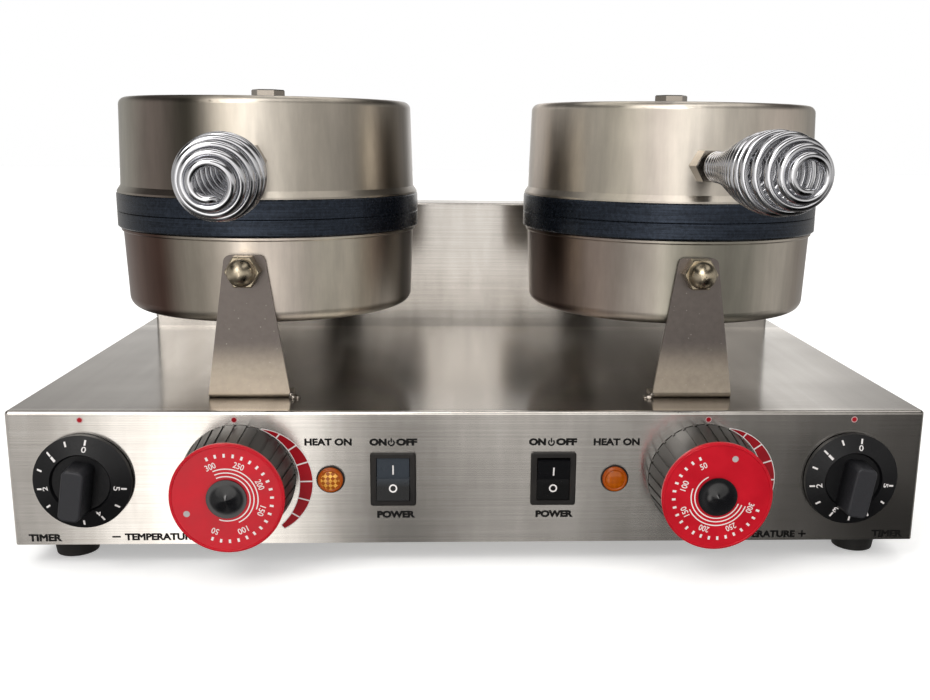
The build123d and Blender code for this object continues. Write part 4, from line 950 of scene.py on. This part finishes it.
# A white backdrop to the eye; in reflections, a room with soft upright lights. Its light goes by degrees round
# the object, 0 straight in front and 90 to the right, and by height, as the sine of the elevation
studio = {
    "byTurn": {
        "wallsAbove": {
            -180: 1.3, -150: 0.45, -125: 0.5, -84: 0.45, -64: 0.55, -46: 0.7, -30: 1.15, -16: 1.75, -3: 1.8,
            8: 1.5, 20: 1.2, 33: 0.85, 73: 0.65, 110: 0.5, 150: 0.35, 160: 1.3, 180: 1.3,
        },
        "wallsBelow": {
            -180: 0.7, -60: 0.6, -30: 0.4, -22: 0.4, -17.5: 2.2, -11: 2.0, -7: 0.5, -3.5: 0.1, 1: 0.4, 5: 0.44,
            12: 0.2, 18: 0.08, 24: 0.02, 30: 0.0, 50: 0.02, 80: 0.4, 180: 0.7,
        },
        "windowAcross": {-180: 0.0, -50: 0.0, -42: 1.0, -10: 1.0, -2: 0.0},
    },
    "byHeight": {
        # Dark low down and over the walls, with a ceiling light
        "heights": {
            -1.0: 0.1, -0.55: 0.12, -0.42: 1.0, 0.3: 1.0, 0.45: 0.12, 0.72: 0.1, 0.8: 1.8, 0.9: 1.8, 0.96: 0.2,
        },
        # A tall window high on the left, which draws the broad white lines on the plated wire
        "windowUp": {-1.0: 0.0, 0.32: 0.0, 0.4: 1.0, 0.72: 1.0, 0.8: 0.0},
    },
    "wallColour": (1, 0.975, 0.94),
    "belowToAbove": (-0.2, -0.13),
    "window": 4.0,
    "softLight": {"from": (-0.3, 0.8), "strength": (0.4, 1.0)},
}
world = bpy.data.worlds.new("studio")
bpy.context.scene.world = world
world.use_nodes = True
room = world.node_tree
room.nodes.clear()
direction = addNode(room, "ShaderNodeTexCoord").outputs["Generated"]
elevation = addNode(room, "ShaderNodeSeparateXYZ", {0: direction}).outputs["Z"]
height = addNode(room, "ShaderNodeMapRange", {0: elevation, 1: -1.0, 2: 1.0})
ramps = {}
for group, share, end in (("byTurn", turnShare(room, direction), 180), ("byHeight", height, 1)):
    for name, levels in studio[group].items():
        tone = studio["wallColour"] if name.startswith("walls") else (1, 1, 1)
        colours = {place: (*(level * part for part in tone), 1) for place, level in levels.items()}
        ramps[name] = addNode(room, "ShaderNodeValToRGB", {0: share})
        fillRamp(ramps[name].color_ramp, colours, -end, end)
low, high = studio["belowToAbove"]
above = addNode(room, "ShaderNodeMapRange", {0: elevation, 1: low, 2: high})
walls = addNode(
    room, "ShaderNodeMix", {0: above, 6: ramps["wallsBelow"], 7: ramps["wallsAbove"]}, data_type="RGBA",
).outputs[2]
window = addNode(
    room, "ShaderNodeMath", {0: ramps["windowAcross"], 1: ramps["windowUp"]}, operation="MULTIPLY",
)
strength = addNode(
    room, "ShaderNodeMath", {0: window, 1: studio["window"], 2: ramps["heights"]}, operation="MULTIPLY_ADD",
)
(low, high), (weak, strong) = studio["softLight"]["from"], studio["softLight"]["strength"]
overhead = addNode(room, "ShaderNodeMapRange", {0: elevation, 1: low, 2: high, 3: weak, 4: strong})
studioLight = addNode(room, "ShaderNodeBackground", {"Color": walls, "Strength": strength})
softLight = addNode(room, "ShaderNodeBackground", {"Color": (1, 1, 1, 1), "Strength": overhead})
backdrop = addNode(room, "ShaderNodeBackground", {"Color": (1, 1, 1, 1), "Strength": 1.0})
rays = addNode(room, "ShaderNodeLightPath")
lit = addNode(room, "ShaderNodeMixShader", {0: rays.outputs["Is Glossy Ray"], 1: softLight, 2: studioLight})
seen = addNode(room, "ShaderNodeMixShader", {0: rays.outputs["Is Camera Ray"], 1: lit, 2: backdrop})
addNode(room, "ShaderNodeOutputWorld", {"Surface": seen})
bpy.context.scene.view_settings.view_transform = "Standard"

# Two softboxes, out of sight and out of the reflections; places and sizes in metres, power in watts
softboxes = {
    "key": {"place": (-1.1, -1.3, 1.6), "size": (1.0, 0.8), "power": 14},
    "fill": {"place": (1.3, -1.2, 0.9), "size": (0.5, 1.0), "power": 3},
}
aim = Vector((0, -0.02, 0.12))
for name, values in softboxes.items():
    light = bpy.data.lights.new(name, "AREA")
    light.shape = "RECTANGLE"
    light.size, light.size_y = values["size"]
    light.energy = values["power"]
    holder = bpy.data.objects.new(name, light)
    holder.location = values["place"]
    holder.rotation_euler = (aim - Vector(values["place"])).to_track_quat("-Z", "Y").to_euler()
    holder.visible_glossy = False
    bpy.context.scene.collection.objects.link(holder)

# The camera, from the photograph: its place and turn in the frame, and its lens in pixels
view = {
    "place": (-14.0, -658.1, 239.4),
    "turn": 2.71,
    "down": 12.0,
    "roll": 0.71,
    "focalPixels": 995.8,
    "width": 930,
    "centreShift": (29.9, -3.2),
    "sensor": 36,
}
turn, down, roll = (math.radians(view[key]) for key in ("turn", "down", "roll"))
forward = Vector((math.sin(turn) * math.cos(down), math.cos(turn) * math.cos(down), -math.sin(down)))
level = Vector((math.cos(turn), -math.sin(turn), 0))
upright = level.cross(forward)
right = level * math.cos(roll) + upright * math.sin(roll)
up = upright * math.cos(roll) - level * math.sin(roll)
cameraData = bpy.data.cameras.new("camera")
cameraData.sensor_width = view["sensor"]
cameraData.lens = view["focalPixels"] * view["sensor"] / view["width"]
cameraData.shift_x = -view["centreShift"][0] / view["width"]
cameraData.shift_y = view["centreShift"][1] / view["width"]
camera = bpy.data.objects.new("camera", cameraData)
camera.matrix_world = Matrix.Translation(Vector(view["place"]) * mm) @ Matrix(
    (right, up, -forward)
).transposed().to_4x4()
bpy.context.scene.collection.objects.link(camera)
bpy.context.scene.camera = camera
